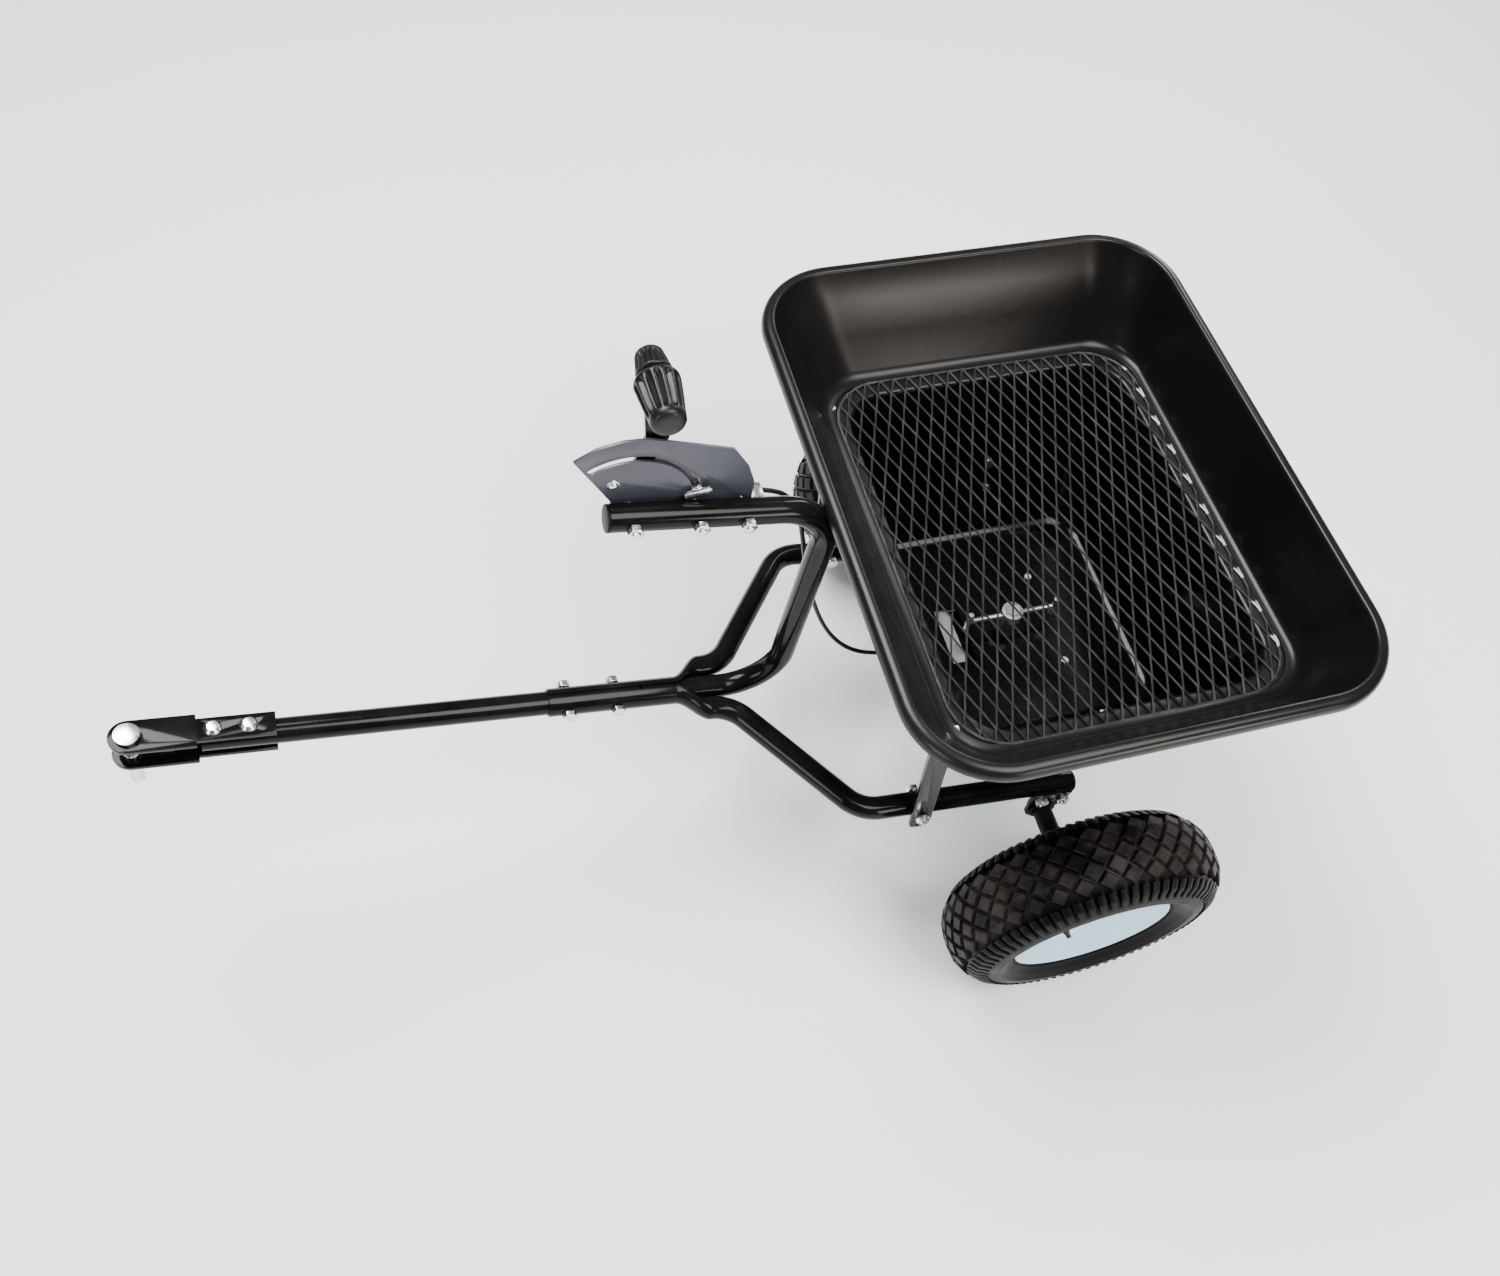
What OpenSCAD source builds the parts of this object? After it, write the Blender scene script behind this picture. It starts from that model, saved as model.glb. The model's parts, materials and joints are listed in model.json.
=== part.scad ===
// Tow-behind broadcast spreader: hopper cart on two wheels with a flow lever on its drawbar.
// +X points forward to the hitch, +Y to the machine's left, +Z up. The origin is on the ground
// under the middle of the footprint.

/* [Wheels and axle] */
// Radius of the tyre over its tread
tyre_r = 154; // [140:1:180]
// Width of the tyre
tyre_w = 100; // [88:1:116]
// Radius of the rim's bead seat
rim_r = 82; // [74:1:90]
// Half the track: middle of the car to middle of a tyre
wheel_y = 300; // [280:1:330]
// Radius of the axle
axle_r = 8; // [6:0.5:10]

/* [Frame] */
// Radius of the frame tubes
tube_r = 12.7; // [11:0.1:15]
// Wall of the frame tubes
tube_t = 1.6; // [1.2:0.1:2.5]
// Half the distance between the side tubes
side_y = 169; // [160:1:190]
// Height of the side tubes' centreline over the axle
tube_rise = 26.6; // [24:0.1:34]
// Upward slope of the frame to the hitch, in degrees
tilt = 10.3; // [6:0.1:14]
// Straight rear part of a side tube, from its end to its bend
side_len = 262; // [240:1:290]
// Distance of the hitch pin in front of the axle, along the frame
pin_u = 937; // [880:1:1100]

/* [Flow control] */
// Height of the control tube over the side tubes
control_rise = 313; // [290:1:340]
// Where the riser leaves the drawbar's line
riser_u = 287; // [284:1:300]
// Forward lean of the riser, in degrees
riser_lean = 5; // [3:0.5:8]
// Distance of the lever's pivot in front of the axle
pivot_u = 507; // [495:1:560]
// Radius of the arc slot in the quadrant plate
slot_r = 61; // [56:1:66]
// Height of the knob over the pivot
knob_w = 149; // [130:1:180]

/* [Hopper] */
// Outer length of the rim, along the cart
rim_len = 460; // [420:1:500]
// Outer width of the rim, across the cart
rim_wid = 592; // [560:1:640]
// Height of the rim's top over the ground
rim_z = 555; // [540:1:610]
// Middle of the rim in front of the axle
rim_cx = 29; // [20:1:32]
// Height of the ledge that carries the screen
ledge_z = 444; // [430:1:460]
// Height of the underside of the hopper's floor
floor_z = 251; // [246:1:268]
// Wall of the hopper
wall = 3.5; // [2.5:0.1:5]

/* [Spreading gear] */
// Radius of the spinner disc
spinner_r = 112; // [90:1:130]
// Radius of the spinner's shaft
shaft_r = 6.35; // [5:0.05:7]
// Teeth of the crown gear on the axle
crown_teeth = 30; // [30:2:32]
// Teeth of the pinion on the spinner's shaft
pinion_teeth = 8; // [8:1:8]

/* [Hidden] */
$fn = 64;
run_gap = 0.05;          // radial gap of a running fit
free_gap = 0.4;          // gap between parts that move past each other
seat_gap = 0.2;          // gap where a curved seat meets its part
hole_gap = 0.3;          // radial gap of a bolt in its hole
eps = 1;                 // how far a cut reaches past its part

// hitch
strap_t = 5;
strap_r = 17;            // half the width of a hitch strap's front
strap_tail = 12;         // half the width of its tail
strap_back = 130;        // pin to the strap's rear end
pin_r = 6.35;
bar_front = pin_u - 62;  // front end of the drawbar
bar_back = 442;          // rear end of the drawbar
hitch_bolt_u = [pin_u - 73.5, pin_u - 105.5];
bolt_r = 4;

// saddles: the side tubes' formed front ends
saddle_t = 2.4;
saddle_back = 362;
saddle_front = 541;
joint_bolt_u = [520, 467];
pinch_y = 2*tube_r + 0.9;

// flow control
tube_front = pivot_u + 21;
riser_bend = 60;
plate_t = 2.5;
plate_y = -tube_r - seat_gap - plate_t;     // far face of the quadrant plate
slider_t = 2;
slider_y = plate_y - 0.3 - slider_t;
lever_t = 4;
lever_y = slider_y - 0.3 - lever_t;
slot_w = 7;
slot_front = 41;
slot_rear = -71;
stop_r = 3;
pivot_r = 4;
lever_w = 20;
plate_bolt_u = [pivot_u - 60, pivot_u - 104];

// wheels
hub_r = 14;
hub_half = 38;           // inner end of the hub from the wheel's middle
hub_out = 16;            // outer end of the hub from the wheel's middle
valve_r = rim_r - 28;
valve_turn = -38;
disc_y = 35;             // outer face of the rim's disc from the wheel's middle
disc_t = 2.5;
bush_r = 11;
cap_r = 15;
axle_half = wheel_y + hub_out + 7.4;
bracket_t = 5;
bracket_y = side_y + tube_r + seat_gap;     // inner face of the axle bracket
bracket_bolt_u = [-14, 14];

// hopper sections: [middle x, half length, half width, corner radius]
rim_sec = [rim_cx, rim_len/2, rim_wid/2, 85];
top_in = [rim_cx, rim_len/2 - 14, rim_wid/2 - 14, 71];
ledge_in = [4, 185, rim_wid/2 - 65, 55];
well_in = [4, 160, rim_wid/2 - 88, 45];
floor_in = [4, 140, rim_wid/2 - 162, 40];
lip = 12;
outlet = [62, 28, 70];   // middle x, length, width
side_slope = (well_in[2] - floor_in[2])/(ledge_z - wall - floor_z - 1);
strap_w = 24;
hstrap_t = 4;

// spreading gear
axle_z = tyre_r;
gear_m = 2.4;
crown_r = gear_m*crown_teeth/2;
pinion_r = gear_m*pinion_teeth/2;
face_w = 6;
box_r = crown_r + 14;
box_t = 3;
box_left = 40;
box_right = -19;
neck_r = 14;
neck_top = axle_z + box_r + 5;
spinner_z = floor_z - 38;
gate_top = floor_z - 0.5;
gate_t = 3;
gate_len = 150;
gate_wid = 100;
gate_shift = 18;         // how far the gate stands back of fully open at rest
gate_x = 30 - gate_shift;

// footprint
hitch_tip_x = (pin_u + strap_r)*cos(tilt) - (tube_rise - tube_r - strap_t)*sin(tilt);
axle_x = -(hitch_tip_x + rim_cx - rim_len/2)/2;

// control cable's route in the hopper's plane: x and z from the axle, y from the middle
cable_r = 2.5;
cable = [[315, -24, 402], [302, -24, 398], [289, -24, 388], [279, -24, 372], [271, -24, 350],
    [265, -24, 322], [259, -24, 290], [253, -24, 258], [246, -24, 226], [238, -23, 196], [229, -21, 168],
    [219, -18, 143], [207, -14, 122], [193, -9, 107], [178, -5, 98], [163, -2, 94], [148, 0, 92.5]];

// ---- places ----
module at_axle() translate([axle_x, 0, axle_z]) children();
module on_ground() translate([axle_x, 0, 0]) children();
module in_frame() at_axle() rotate([0, -tilt, 0]) children();
module at_pivot() in_frame() translate([pivot_u, 0, tube_rise + control_rise]) children();
module at_wheel(side) at_axle() translate([0, side*wheel_y, 0])
    rotate([0, 0, side > 0 ? 0 : 180]) children();

// ---- shapes ----
// a cylinder along Y from y0 to y1
module rod_y(r, y0, y1) translate([0, y0, 0]) rotate([-90, 0, 0]) cylinder(r = r, h = y1 - y0);
// a cylinder along X from x0 to x1
module rod_x(r, x0, x1) translate([x0, 0, 0]) rotate([0, 90, 0]) cylinder(r = r, h = x1 - x0);
module hex(across, h) cylinder(r = across/sqrt(3), h = h, $fn = 6);
// a bolt along Y: head at y0, nut outside y1
module bolt_y(r, y0, y1) {
    rod_y(r, y0, y1 + 2.2*r);
    translate([0, y0, 0]) rotate([90, 0, 0]) hex(3.4*r, 1.4*r);
    difference() {
        translate([0, y1, 0]) rotate([-90, 0, 0]) hex(3.4*r, 1.6*r);
        rod_y(r - 0.01, y1 - eps, y1 + 2*r);
    }
}
// a bolt along Z: domed head at z1, nut under z0
module bolt_z(r, z0, z1) {
    translate([0, 0, z0 - 2.2*r]) cylinder(r = r, h = z1 - z0 + 2.2*r);
    translate([0, 0, z1]) cylinder(r1 = 2.1*r, r2 = 1.3*r, h = 1.1*r);
    translate([0, 0, z0 - 1.6*r]) hex(3.4*r, 1.6*r);
}
// a flat bar outline with round ends, from a to b
module bar2d(a, b, half_w) {
    d = b - a;
    translate(a) circle(half_w);
    translate(b) circle(half_w);
    translate(a) rotate(atan2(d[1], d[0])) translate([0, -0.995*half_w]) square([norm(d), 1.99*half_w]);
}
// a plate in the frame's upright plane, from y = y0 outwards by t
module upright(y0, t) translate([0, y0 + t, 0]) rotate([90, 0, 0]) linear_extrude(t) children();
// A bent bar from +Z on: each step is [straight length, bend angle, bend radius], bent towards +X.
// Bends are a hair thinner than the straights, which reach half a millimetre into them.
module run(steps, r, cap = 0, i = 0) {
    step = steps[i];
    last = i == len(steps) - 1;
    before = i == 0 ? cap : 0.5;
    after = last ? cap : 0.5;
    translate([0, 0, -before]) cylinder(r = r, h = step[0] + before + after);
    if (!last) translate([0, 0, step[0]]) rotate([0, 0, step[1] < 0 ? 180 : 0]) {
        a = abs(step[1]);
        translate([step[2], 0, 0]) rotate([90, 0, 180]) rotate_extrude(angle = a)
            translate([step[2], 0]) circle(r - 0.03);
        translate([step[2]*(1 - cos(a)), 0, step[2]*sin(a)]) rotate([0, a, 0])
            rotate([0, 0, step[1] < 0 ? 180 : 0]) run(steps, r, cap, i + 1);
    }
}
// a rectangle with round corners, as points
function round_rect(hx, hy, r, n = 8) = [for (c = [[1, 1, 0], [-1, 1, 90], [-1, -1, 180], [1, -1, 270]], k = [0:n])
    [c[0]*(hx - r) + r*cos(c[2] + 90*k/n), c[1]*(hy - r) + r*sin(c[2] + 90*k/n)]];
module slab(sec, z, t, grow = 0) {
    dx = sec[1] - sec[3];
    dy = sec[2] - sec[3];
    for (sx = [-1, 1], sy = [-1, 1])
        translate([sec[0] + sx*dx, sy*dy, z]) cylinder(r = sec[3] + grow, h = t, $fn = 48);
}

// ---- hopper ----
module hopper() color([0.06, 0.06, 0.065]) on_ground() difference() {
    union() {
        hull() slab(rim_sec, rim_z - lip, lip);
        hull() {
            slab(top_in, rim_z - lip, 1, wall);
            slab(ledge_in, ledge_z - wall, 1, wall);
        }
        hull() {
            slab(well_in, ledge_z - wall, 1, wall);
            slab(floor_in, floor_z, 1, wall);
        }
    }
    hull() {
        slab(top_in, rim_z, eps);
        slab(ledge_in, ledge_z, 1);
    }
    hull() {
        slab(well_in, ledge_z, eps);
        slab(floor_in, floor_z + wall, 1);
    }
    translate([outlet[0] - outlet[1]/2, -outlet[2]/2, floor_z - eps])
        cube([outlet[1], outlet[2], wall + 2*eps]);
    translate([0, 0, floor_z - eps]) cylinder(r = bush_r + seat_gap, h = wall + 2*eps);
    for (p = gate_screw_xy()) translate([p[0], p[1], floor_z - eps])
        cylinder(r = 2 + hole_gap, h = wall + 2*eps);
    for (s = [-1, 1]) {
        rear_knee(s) for (z = [22, 56]) translate([0, 0, z]) rod_y(3 + hole_gap, -12, 12);
        on_side(s) translate([rivet[0], rivet[1], ledge_z - 20]) cylinder(r = 2.5 + hole_gap, h = 30);
    }
}

// diamond mesh on the ledge
cell_x = 16;
cell_y = 40.8;
wire = 2.3;
screen_x = ledge_in[1] - 12;
screen_y = ledge_in[2] - 9;
module hopper_screen() color([0.12, 0.12, 0.12]) on_ground()
    translate([ledge_in[0], 0, ledge_z + 0.3]) {
        nx = floor(screen_x/cell_x);
        ny = floor(screen_y/cell_y);
        hx = cell_x/2 - wire*0.54;
        hy = cell_y/2 - wire*1.36;
        cells = [for (i = [-nx:nx], j = [-ny:ny], k = [0, 1])
            let (x = (i + k/2)*cell_x, y = (j + k/2)*cell_y)
            if (abs(x) + cell_x/2 < screen_x - 2 && abs(y) + cell_y/2 < screen_y - 2
                && !(abs(x) > screen_x - 40 && abs(y) > screen_y - 40)) [x, y]];
        difference() {
            linear_extrude(2.5) polygon(round_rect(screen_x, screen_y, 55));
            for (c = cells) translate([c[0], c[1], -eps]) linear_extrude(5)
                polygon([[-hx, 0], [0, hy], [hx, 0], [0, -hy]]);
        }
    }

// ---- hopper straps: side is +1 on the left, front is 1 or 0 ----
function strap_in(front) = front == 1 ? side_y + tube_r + seat_gap : side_y - tube_r - seat_gap - hstrap_t;
function strap_x(front) = front == 1 ? 157 : bracket_bolt_u[0]*cos(tilt) - tube_rise*sin(tilt);
function strap_bolt_z(x) = axle_z + tube_rise/cos(tilt) + x*tan(tilt);
function strap_u(front) = (strap_x(front) + tube_rise*sin(tilt))/cos(tilt);
strap_lean = 5;
foot_z = ledge_z - wall - 0.2 - hstrap_t;
foot_x = strap_x(1) + (foot_z - strap_bolt_z(strap_x(1)))*tan(strap_lean);
rivet = [foot_x + 1, strap_in(1) + 14.5];
knee_z = floor_z + (strap_in(0) - floor_in[2] - wall)/side_slope;
module on_side(side) mirror([0, side > 0 ? 0 : 1, 0]) children();
// the tilted frame of a rear strap's upper part, which lies on the hopper's side
module rear_knee(side) on_side(side) translate([strap_x(0), strap_in(0), knee_z])
    rotate([-atan(side_slope), 0, 0]) children();
module strap_bar(top, tail) {
    translate([-0.995*strap_w/2, 0, -tail]) cube([0.995*strap_w, hstrap_t, top + tail]);
    translate([0, 0, -tail]) rod_y(strap_w/2, 0, hstrap_t);
}
module strap_front(side) color([0.03, 0.03, 0.03]) on_ground() on_side(side) {
    z = strap_bolt_z(strap_x(1));
    difference() {
        union() {
            translate([strap_x(1), strap_in(1), z]) rotate([0, strap_lean, 0])
                strap_bar((foot_z - z)/cos(strap_lean) + 2, 18);
            translate([foot_x - strap_w/2, strap_in(1) + 0.1, foot_z]) cube([strap_w, 25, hstrap_t]);
        }
        translate([strap_x(1), strap_in(1), z]) rotate([0, strap_lean, 0]) {
            rod_y(bolt_r + hole_gap, -eps, hstrap_t + eps);
            translate([0, 0, -20]) rod_y(4.5, -eps, hstrap_t + eps);
        }
        translate([rivet[0], rivet[1], foot_z - eps]) cylinder(r = 2.5 + hole_gap, h = hstrap_t + 2*eps);
    }
}
module strap_rear(side) color([0.03, 0.03, 0.03]) on_ground() {
    z = strap_bolt_z(strap_x(0));
    difference() {
        on_side(side) translate([strap_x(0), strap_in(0), z]) strap_bar(knee_z - z, 0);
        on_side(side) translate([strap_x(0), strap_in(0), z]) rod_y(bolt_r + hole_gap, -eps, hstrap_t + eps);
    }
    rear_knee(side) difference() {
        translate([-strap_w/2, 0.9, -1.5]) cube([strap_w, hstrap_t - 0.9, 78]);
        for (z = [22, 56]) translate([0, 0, z]) rod_y(3 + hole_gap, -eps, hstrap_t + eps);
    }
}
module strap_bolts() color([0.75, 0.76, 0.78]) on_ground() for (s = [-1, 1]) {
    rear_knee(s) for (z = [22, 56]) translate([0, 0, z]) bolt_y(3, -wall - 1.2, hstrap_t + 0.1);
    on_side(s) {
        translate([strap_x(1), 0, strap_bolt_z(strap_x(1))])
            bolt_y(bolt_r, side_y - tube_r - 0.1, strap_in(1) + hstrap_t + 0.1);
        translate([strap_x(0), 0, strap_bolt_z(strap_x(0))])
            bolt_y(bolt_r, strap_in(0) - 0.1, bracket_y + bracket_t + 0.1);
        translate([rivet[0], rivet[1], 0]) {
            translate([0, 0, foot_z - 2]) cylinder(r = 2.5, h = hstrap_t + wall + 4);
            translate([0, 0, foot_z - 3.1]) cylinder(r = 5, h = 3);
            translate([0, 0, ledge_z + 0.1]) cylinder(r = 4, h = 2);
        }
    }
}

// ---- frame ----
diag_run = saddle_back - 18 - (side_len - 30);
diag_drop = side_y - pinch_y;
diag_a = atan2(diag_drop, diag_run);
side_bend = 45;
module side_path(r, front, cap) {
    t = side_bend*tan(diag_a/2);
    translate([-30, side_y, tube_rise]) rotate([0, 90, 0]) rotate([0, 0, -90])
        run([[side_len - t, diag_a, side_bend], [norm([diag_run, diag_drop]) - 2*t, -diag_a, side_bend],
            [front - t]], r, cap);
}
module side_tube(side) color([0.02, 0.02, 0.022]) in_frame() mirror([0, side > 0 ? 0 : 1, 0])
    difference() {
        union() {
            side_path(tube_r, 64, 0);
            saddle();
        }
        side_path(tube_r - tube_t, 30, eps);
        translate([saddle_back - 4, pinch_y + tube_r, tube_rise - 20]) rotate([0, 0, -27]) cube([80, 60, 40]);
        translate([0, 0, tube_rise]) rod_x(tube_r + seat_gap/2, saddle_back - 60, saddle_front + eps);
        for (u = joint_bolt_u) translate([u, 0, tube_rise]) rod_y(bolt_r + hole_gap, 0, 40);
        for (u = concat(bracket_bolt_u, [strap_u(1)])) translate([u, 0, tube_rise])
            rod_y(bolt_r + hole_gap, side_y - 20, side_y + 20);
    }
// the tube's end, pressed to a half shell round the drawbar
module saddle() translate([0, 0, tube_rise]) difference() {
    rod_x(tube_r + saddle_t, saddle_back, saddle_front);
    translate([saddle_back - eps, -30, -20]) cube([saddle_front - saddle_back + 2*eps, 32, 40]);
}

module drawbar() color([0.02, 0.02, 0.022]) in_frame() difference() {
    translate([0, 0, tube_rise]) rod_x(tube_r, bar_back, bar_front);
    translate([0, 0, tube_rise]) rod_x(tube_r - tube_t, bar_back - eps, bar_front + eps);
    for (u = joint_bolt_u) translate([u, 0, tube_rise]) rod_y(bolt_r + hole_gap, -20, 20);
    for (u = hitch_bolt_u) translate([u, 0, 0]) cylinder(r = bolt_r + hole_gap, h = 60);
}

// riser and control tube, one bent tube
module control_tube() color([0.02, 0.02, 0.022]) in_frame() difference() {
    low = 90 + riser_lean;
    high = 90 - riser_lean;
    low_t = riser_bend*tan(low/2);
    high_t = riser_bend*tan(high/2);
    top_u = riser_u + control_rise*tan(riser_lean);
    steps = [[bar_back - 2 - riser_u - low_t, low, riser_bend],
        [control_rise/cos(riser_lean) - low_t - high_t, high, riser_bend],
        [tube_front - top_u - high_t]];
    translate([bar_back - 2, 0, tube_rise]) rotate([0, -90, 0]) run(steps, tube_r);
    translate([bar_back - 2, 0, tube_rise]) rotate([0, -90, 0]) run(steps, tube_r - tube_t, eps);
    for (u = concat([pivot_u], plate_bolt_u)) translate([u, 0, tube_rise + control_rise])
        rod_y(bolt_r + hole_gap, -20, 20);
}
module plug() {
    cylinder(r = tube_r, h = 2.5);
    translate([0, 0, -12]) cylinder(r = tube_r - tube_t - seat_gap/2, h = 12);
}
module tube_plugs() color([0.05, 0.05, 0.05]) in_frame() {
    for (s = [-1, 1]) translate([-30, s*side_y, tube_rise]) rotate([0, -90, 0]) plug();
    translate([tube_front, 0, tube_rise + control_rise]) rotate([0, 90, 0]) plug();
}
module joint_bolts() color([0.75, 0.76, 0.78]) in_frame() for (u = joint_bolt_u)
    translate([u, 0, tube_rise]) mirror([0, 1, 0])
        bolt_y(bolt_r, -tube_r - saddle_t - 0.1, tube_r + saddle_t + 0.1);

// ---- hitch ----
module hitch_strap(z) in_frame() translate([0, 0, z]) difference() {
    linear_extrude(strap_t) {
        translate([pin_u, 0]) circle(strap_r);
        translate([bar_front + 3, -strap_r]) square([pin_u - bar_front - 3, 2*strap_r]);
        translate([pin_u - strap_back, -strap_tail]) square([strap_back - 50, 2*strap_tail]);
    }
    translate([pin_u, 0, -eps]) cylinder(r = pin_r + free_gap, h = strap_t + 2*eps);
    for (u = hitch_bolt_u) translate([u, 0, -eps]) cylinder(r = bolt_r + hole_gap, h = strap_t + 2*eps);
}
module hitch_strap_upper() color([0.03, 0.03, 0.03]) hitch_strap(tube_rise + tube_r);
module hitch_strap_lower() color([0.03, 0.03, 0.03]) hitch_strap(tube_rise - tube_r - strap_t);
module hitch_bolts() color([0.75, 0.76, 0.78]) in_frame() for (u = hitch_bolt_u)
    translate([u, 0, 0]) bolt_z(bolt_r, tube_rise - tube_r - strap_t - 0.1, tube_rise + tube_r + strap_t + 0.1);
module hitch_pin() color([0.75, 0.76, 0.78]) in_frame() difference() {
    union() {
        translate([pin_u, 0, -38]) cylinder(r = pin_r, h = 38 + tube_rise + tube_r + strap_t + 1);
        translate([pin_u, 0, -40]) cylinder(r1 = pin_r - 2, r2 = pin_r, h = 2.01);
        translate([pin_u, 0, tube_rise + tube_r + strap_t + 0.2]) cylinder(r = 11.5, h = 5);
    }
    translate([pin_u, 0, -8]) rod_y(2, -20, 20);
}

// ---- flow control ----
function polar(r, a) = [r*sin(a), r*cos(a)];
module slot_cut() {
    for (a = [slot_rear, slot_front]) translate(polar(slot_r, a)) circle(0.995*slot_w/2);
    intersection() {
        difference() {
            circle(slot_r + slot_w/2);
            circle(slot_r - slot_w/2);
        }
        polygon(concat([[0, 0]], [for (i = [0:6]) polar(100, slot_rear + i*(slot_front - slot_rear)/6)]));
    }
}
module quadrant_plate() color([0.25, 0.26, 0.28]) at_pivot() difference() {
    upright(plate_y, plate_t) difference() {
        polygon([[17, -9], [17, 6], [57, 59], [40, 74], [18, 83], [-3, 85], [-80, 70],
            [-100, 46], [-110, 26], [-113, 4], [-113, -9]]);
        slot_cut();
    }
    rod_y(pivot_r + hole_gap, plate_y - eps, 0);
    for (u = plate_bolt_u) translate([u - pivot_u, 0, 0]) rod_y(bolt_r + hole_gap, plate_y - eps, 0);
}
module quadrant_bolts() color([0.75, 0.76, 0.78]) at_pivot() for (u = plate_bolt_u)
    translate([u - pivot_u, 0, 0]) bolt_y(bolt_r, plate_y - 0.1, tube_r + 0.1);
module lever() color([0.08, 0.08, 0.08]) at_pivot() difference() {
    upright(lever_y, lever_t) {
        bar2d([0, 0], [-11, 82], lever_w/2);
        bar2d([-11, 82], [4, knob_w], lever_w/2);
        bar2d([0, 0], [4, -34], lever_w/2);
    }
    rod_y(pivot_r + run_gap, lever_y - eps, 0);
    translate([4, 0, knob_w]) rod_y(4 + run_gap, lever_y - eps, 0);
    translate([4, 0, -36]) rod_y(2.2, lever_y - eps, 0);
}
module lever_knob() color([0.07, 0.07, 0.07]) at_pivot() translate([4, 0, knob_w]) {
    translate([0, lever_y + lever_t + 0.1, 0]) rotate([-90, 0, 0]) {
        cylinder(r1 = 17, r2 = 19, h = 5);
        translate([0, 0, 5]) cylinder(r1 = 19, r2 = 14, h = 42);
    }
    translate([0, lever_y - 0.1, 0]) rotate([90, 0, 0]) cylinder(r1 = 15, r2 = 11, h = 24);
    rod_y(4, lever_y - 0.2, lever_y + lever_t + 0.2);
}
module pivot_bolt() color([0.75, 0.76, 0.78]) at_pivot() {
    rod_y(pivot_r, lever_y - 4, tube_r + 9);
    translate([0, lever_y - 0.3, 0]) rotate([90, 0, 0]) hex(13, 5.5);
    translate([0, tube_r + 0.1, 0]) rotate([-90, 0, 0]) hex(13, 6.4);
    rod_y(7, slider_y + 0.3, plate_y - 0.1);
}
stop_rest = slot_rear + 1;
module stop_slider() color([0.05, 0.05, 0.05]) at_pivot() upright(slider_y, slider_t) difference() {
    intersection() {
        difference() {
            circle(slot_r + 7);
            circle(slot_r - 7);
        }
        polygon(concat([[0, 0]], [for (i = [0:4]) polar(100, stop_rest - 7 + i*64/4)]));
    }
    translate(polar(slot_r, stop_rest)) circle(stop_r + hole_gap);
}
module stop_bolt() color([0.8, 0.8, 0.82]) at_pivot() rotate([0, stop_rest, 0])
    translate([0, 0, slot_r]) {
        rod_y(stop_r, lever_y - 2, plate_y + plate_t + 7);
        rod_y(6, plate_y + plate_t + 0.2, plate_y + plate_t + 4);
        upright(plate_y + plate_t + 4, 3) bar2d([0, -9], [0, 9], 3.6);
        difference() {
            rod_y(5.5, slider_y - 3.5, slider_y - 0.15);
            rod_y(stop_r - 0.01, slider_y - 3, slider_y);
        }
    }

// one solid swept round the points of a route
module swept(route, r, n) {
    m = len(route);
    dirs = [for (i = [0:m - 1]) let (d = route[min(i + 1, m - 1)] - route[max(i - 1, 0)]) d/norm(d)];
    pts = [for (i = [0:m - 1]) let (t = dirs[i], s = cross(t, [0, 1, 0.02]), a = s/norm(s), b = cross(t, a))
        for (k = [0:n - 1]) route[i] + r*(a*cos(360*k/n) + b*sin(360*k/n))];
    walls = [for (i = [0:m - 2], k = [0:n - 1])
        [i*n + k, i*n + (k + 1)%n, (i + 1)*n + (k + 1)%n, (i + 1)*n + k]];
    ends = [[for (k = [n - 1:-1:0]) k], [for (k = [0:n - 1]) (m - 1)*n + k]];
    polyhedron(pts, concat(walls, ends), convexity = 4);
}
module control_cable() color([0.04, 0.04, 0.04]) at_axle() swept(cable, cable_r, 10);
// the clamp on the control tube's side and the anchor under the hopper's floor
module cable_clamps() color([0.6, 0.61, 0.63]) at_axle() {
    translate(cable[0]) rotate([0, -tilt, 0]) difference() {
        translate([0.1, -5, -5]) cube([9, 29 - tube_r - seat_gap, 10]);
        rod_x(1.2, -3, 12);
    }
    translate(cable[len(cable) - 1]) difference() {
        translate([-3.1, -7, -5]) cube([3, 14, floor_z - axle_z - cable[len(cable) - 1][2] + 4.9]);
        rod_x(1.4, -12, 3);
    }
}

// ---- wheels and axle ----
module axle() color([0.7, 0.71, 0.73]) at_axle() difference() {
    rod_y(axle_r, -axle_half, axle_half);
    translate([0, -wheel_y + hub_half - 6, -20]) cylinder(r = 2.5 + hole_gap, h = 40);
}
module wheel_rim(side) color([0.72, 0.8, 0.86]) at_wheel(side) rotate([-90, 0, 0]) difference() {
    rotate_extrude($fn = 96) polygon([
        [bush_r + seat_gap/2, -hub_half], [hub_r, -hub_half], [hub_r, hub_out - 7],
        [rim_r - 48, disc_y - disc_t], [rim_r - 9, disc_y - disc_t], [rim_r - 14, disc_y - 19],
        [rim_r - 14, 19 - disc_y], [rim_r - 4, -disc_y], [rim_r + 5, -disc_y - 3], [rim_r + 6, -disc_y],
        [rim_r - 1, -disc_y + 3], [rim_r - 11, 20 - disc_y], [rim_r - 11, disc_y - 20], [rim_r - 1, disc_y - 3],
        [rim_r + 6, disc_y], [rim_r + 5, disc_y + 3], [rim_r - 7, disc_y], [rim_r - 50, disc_y],
        [hub_r + 3, hub_out], [bush_r + seat_gap/2, hub_out]]);
    if (side < 0) translate([0, 0, -hub_half + 6]) rotate([90, 0, 0])
        translate([0, 0, -hub_r - eps]) cylinder(r = 2.5 + hole_gap, h = 2*hub_r + 2*eps);
    rotate([0, 0, valve_turn]) translate([valve_r, 0, disc_y - 10]) cylinder(r = 4.2, h = 20);
}
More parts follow.
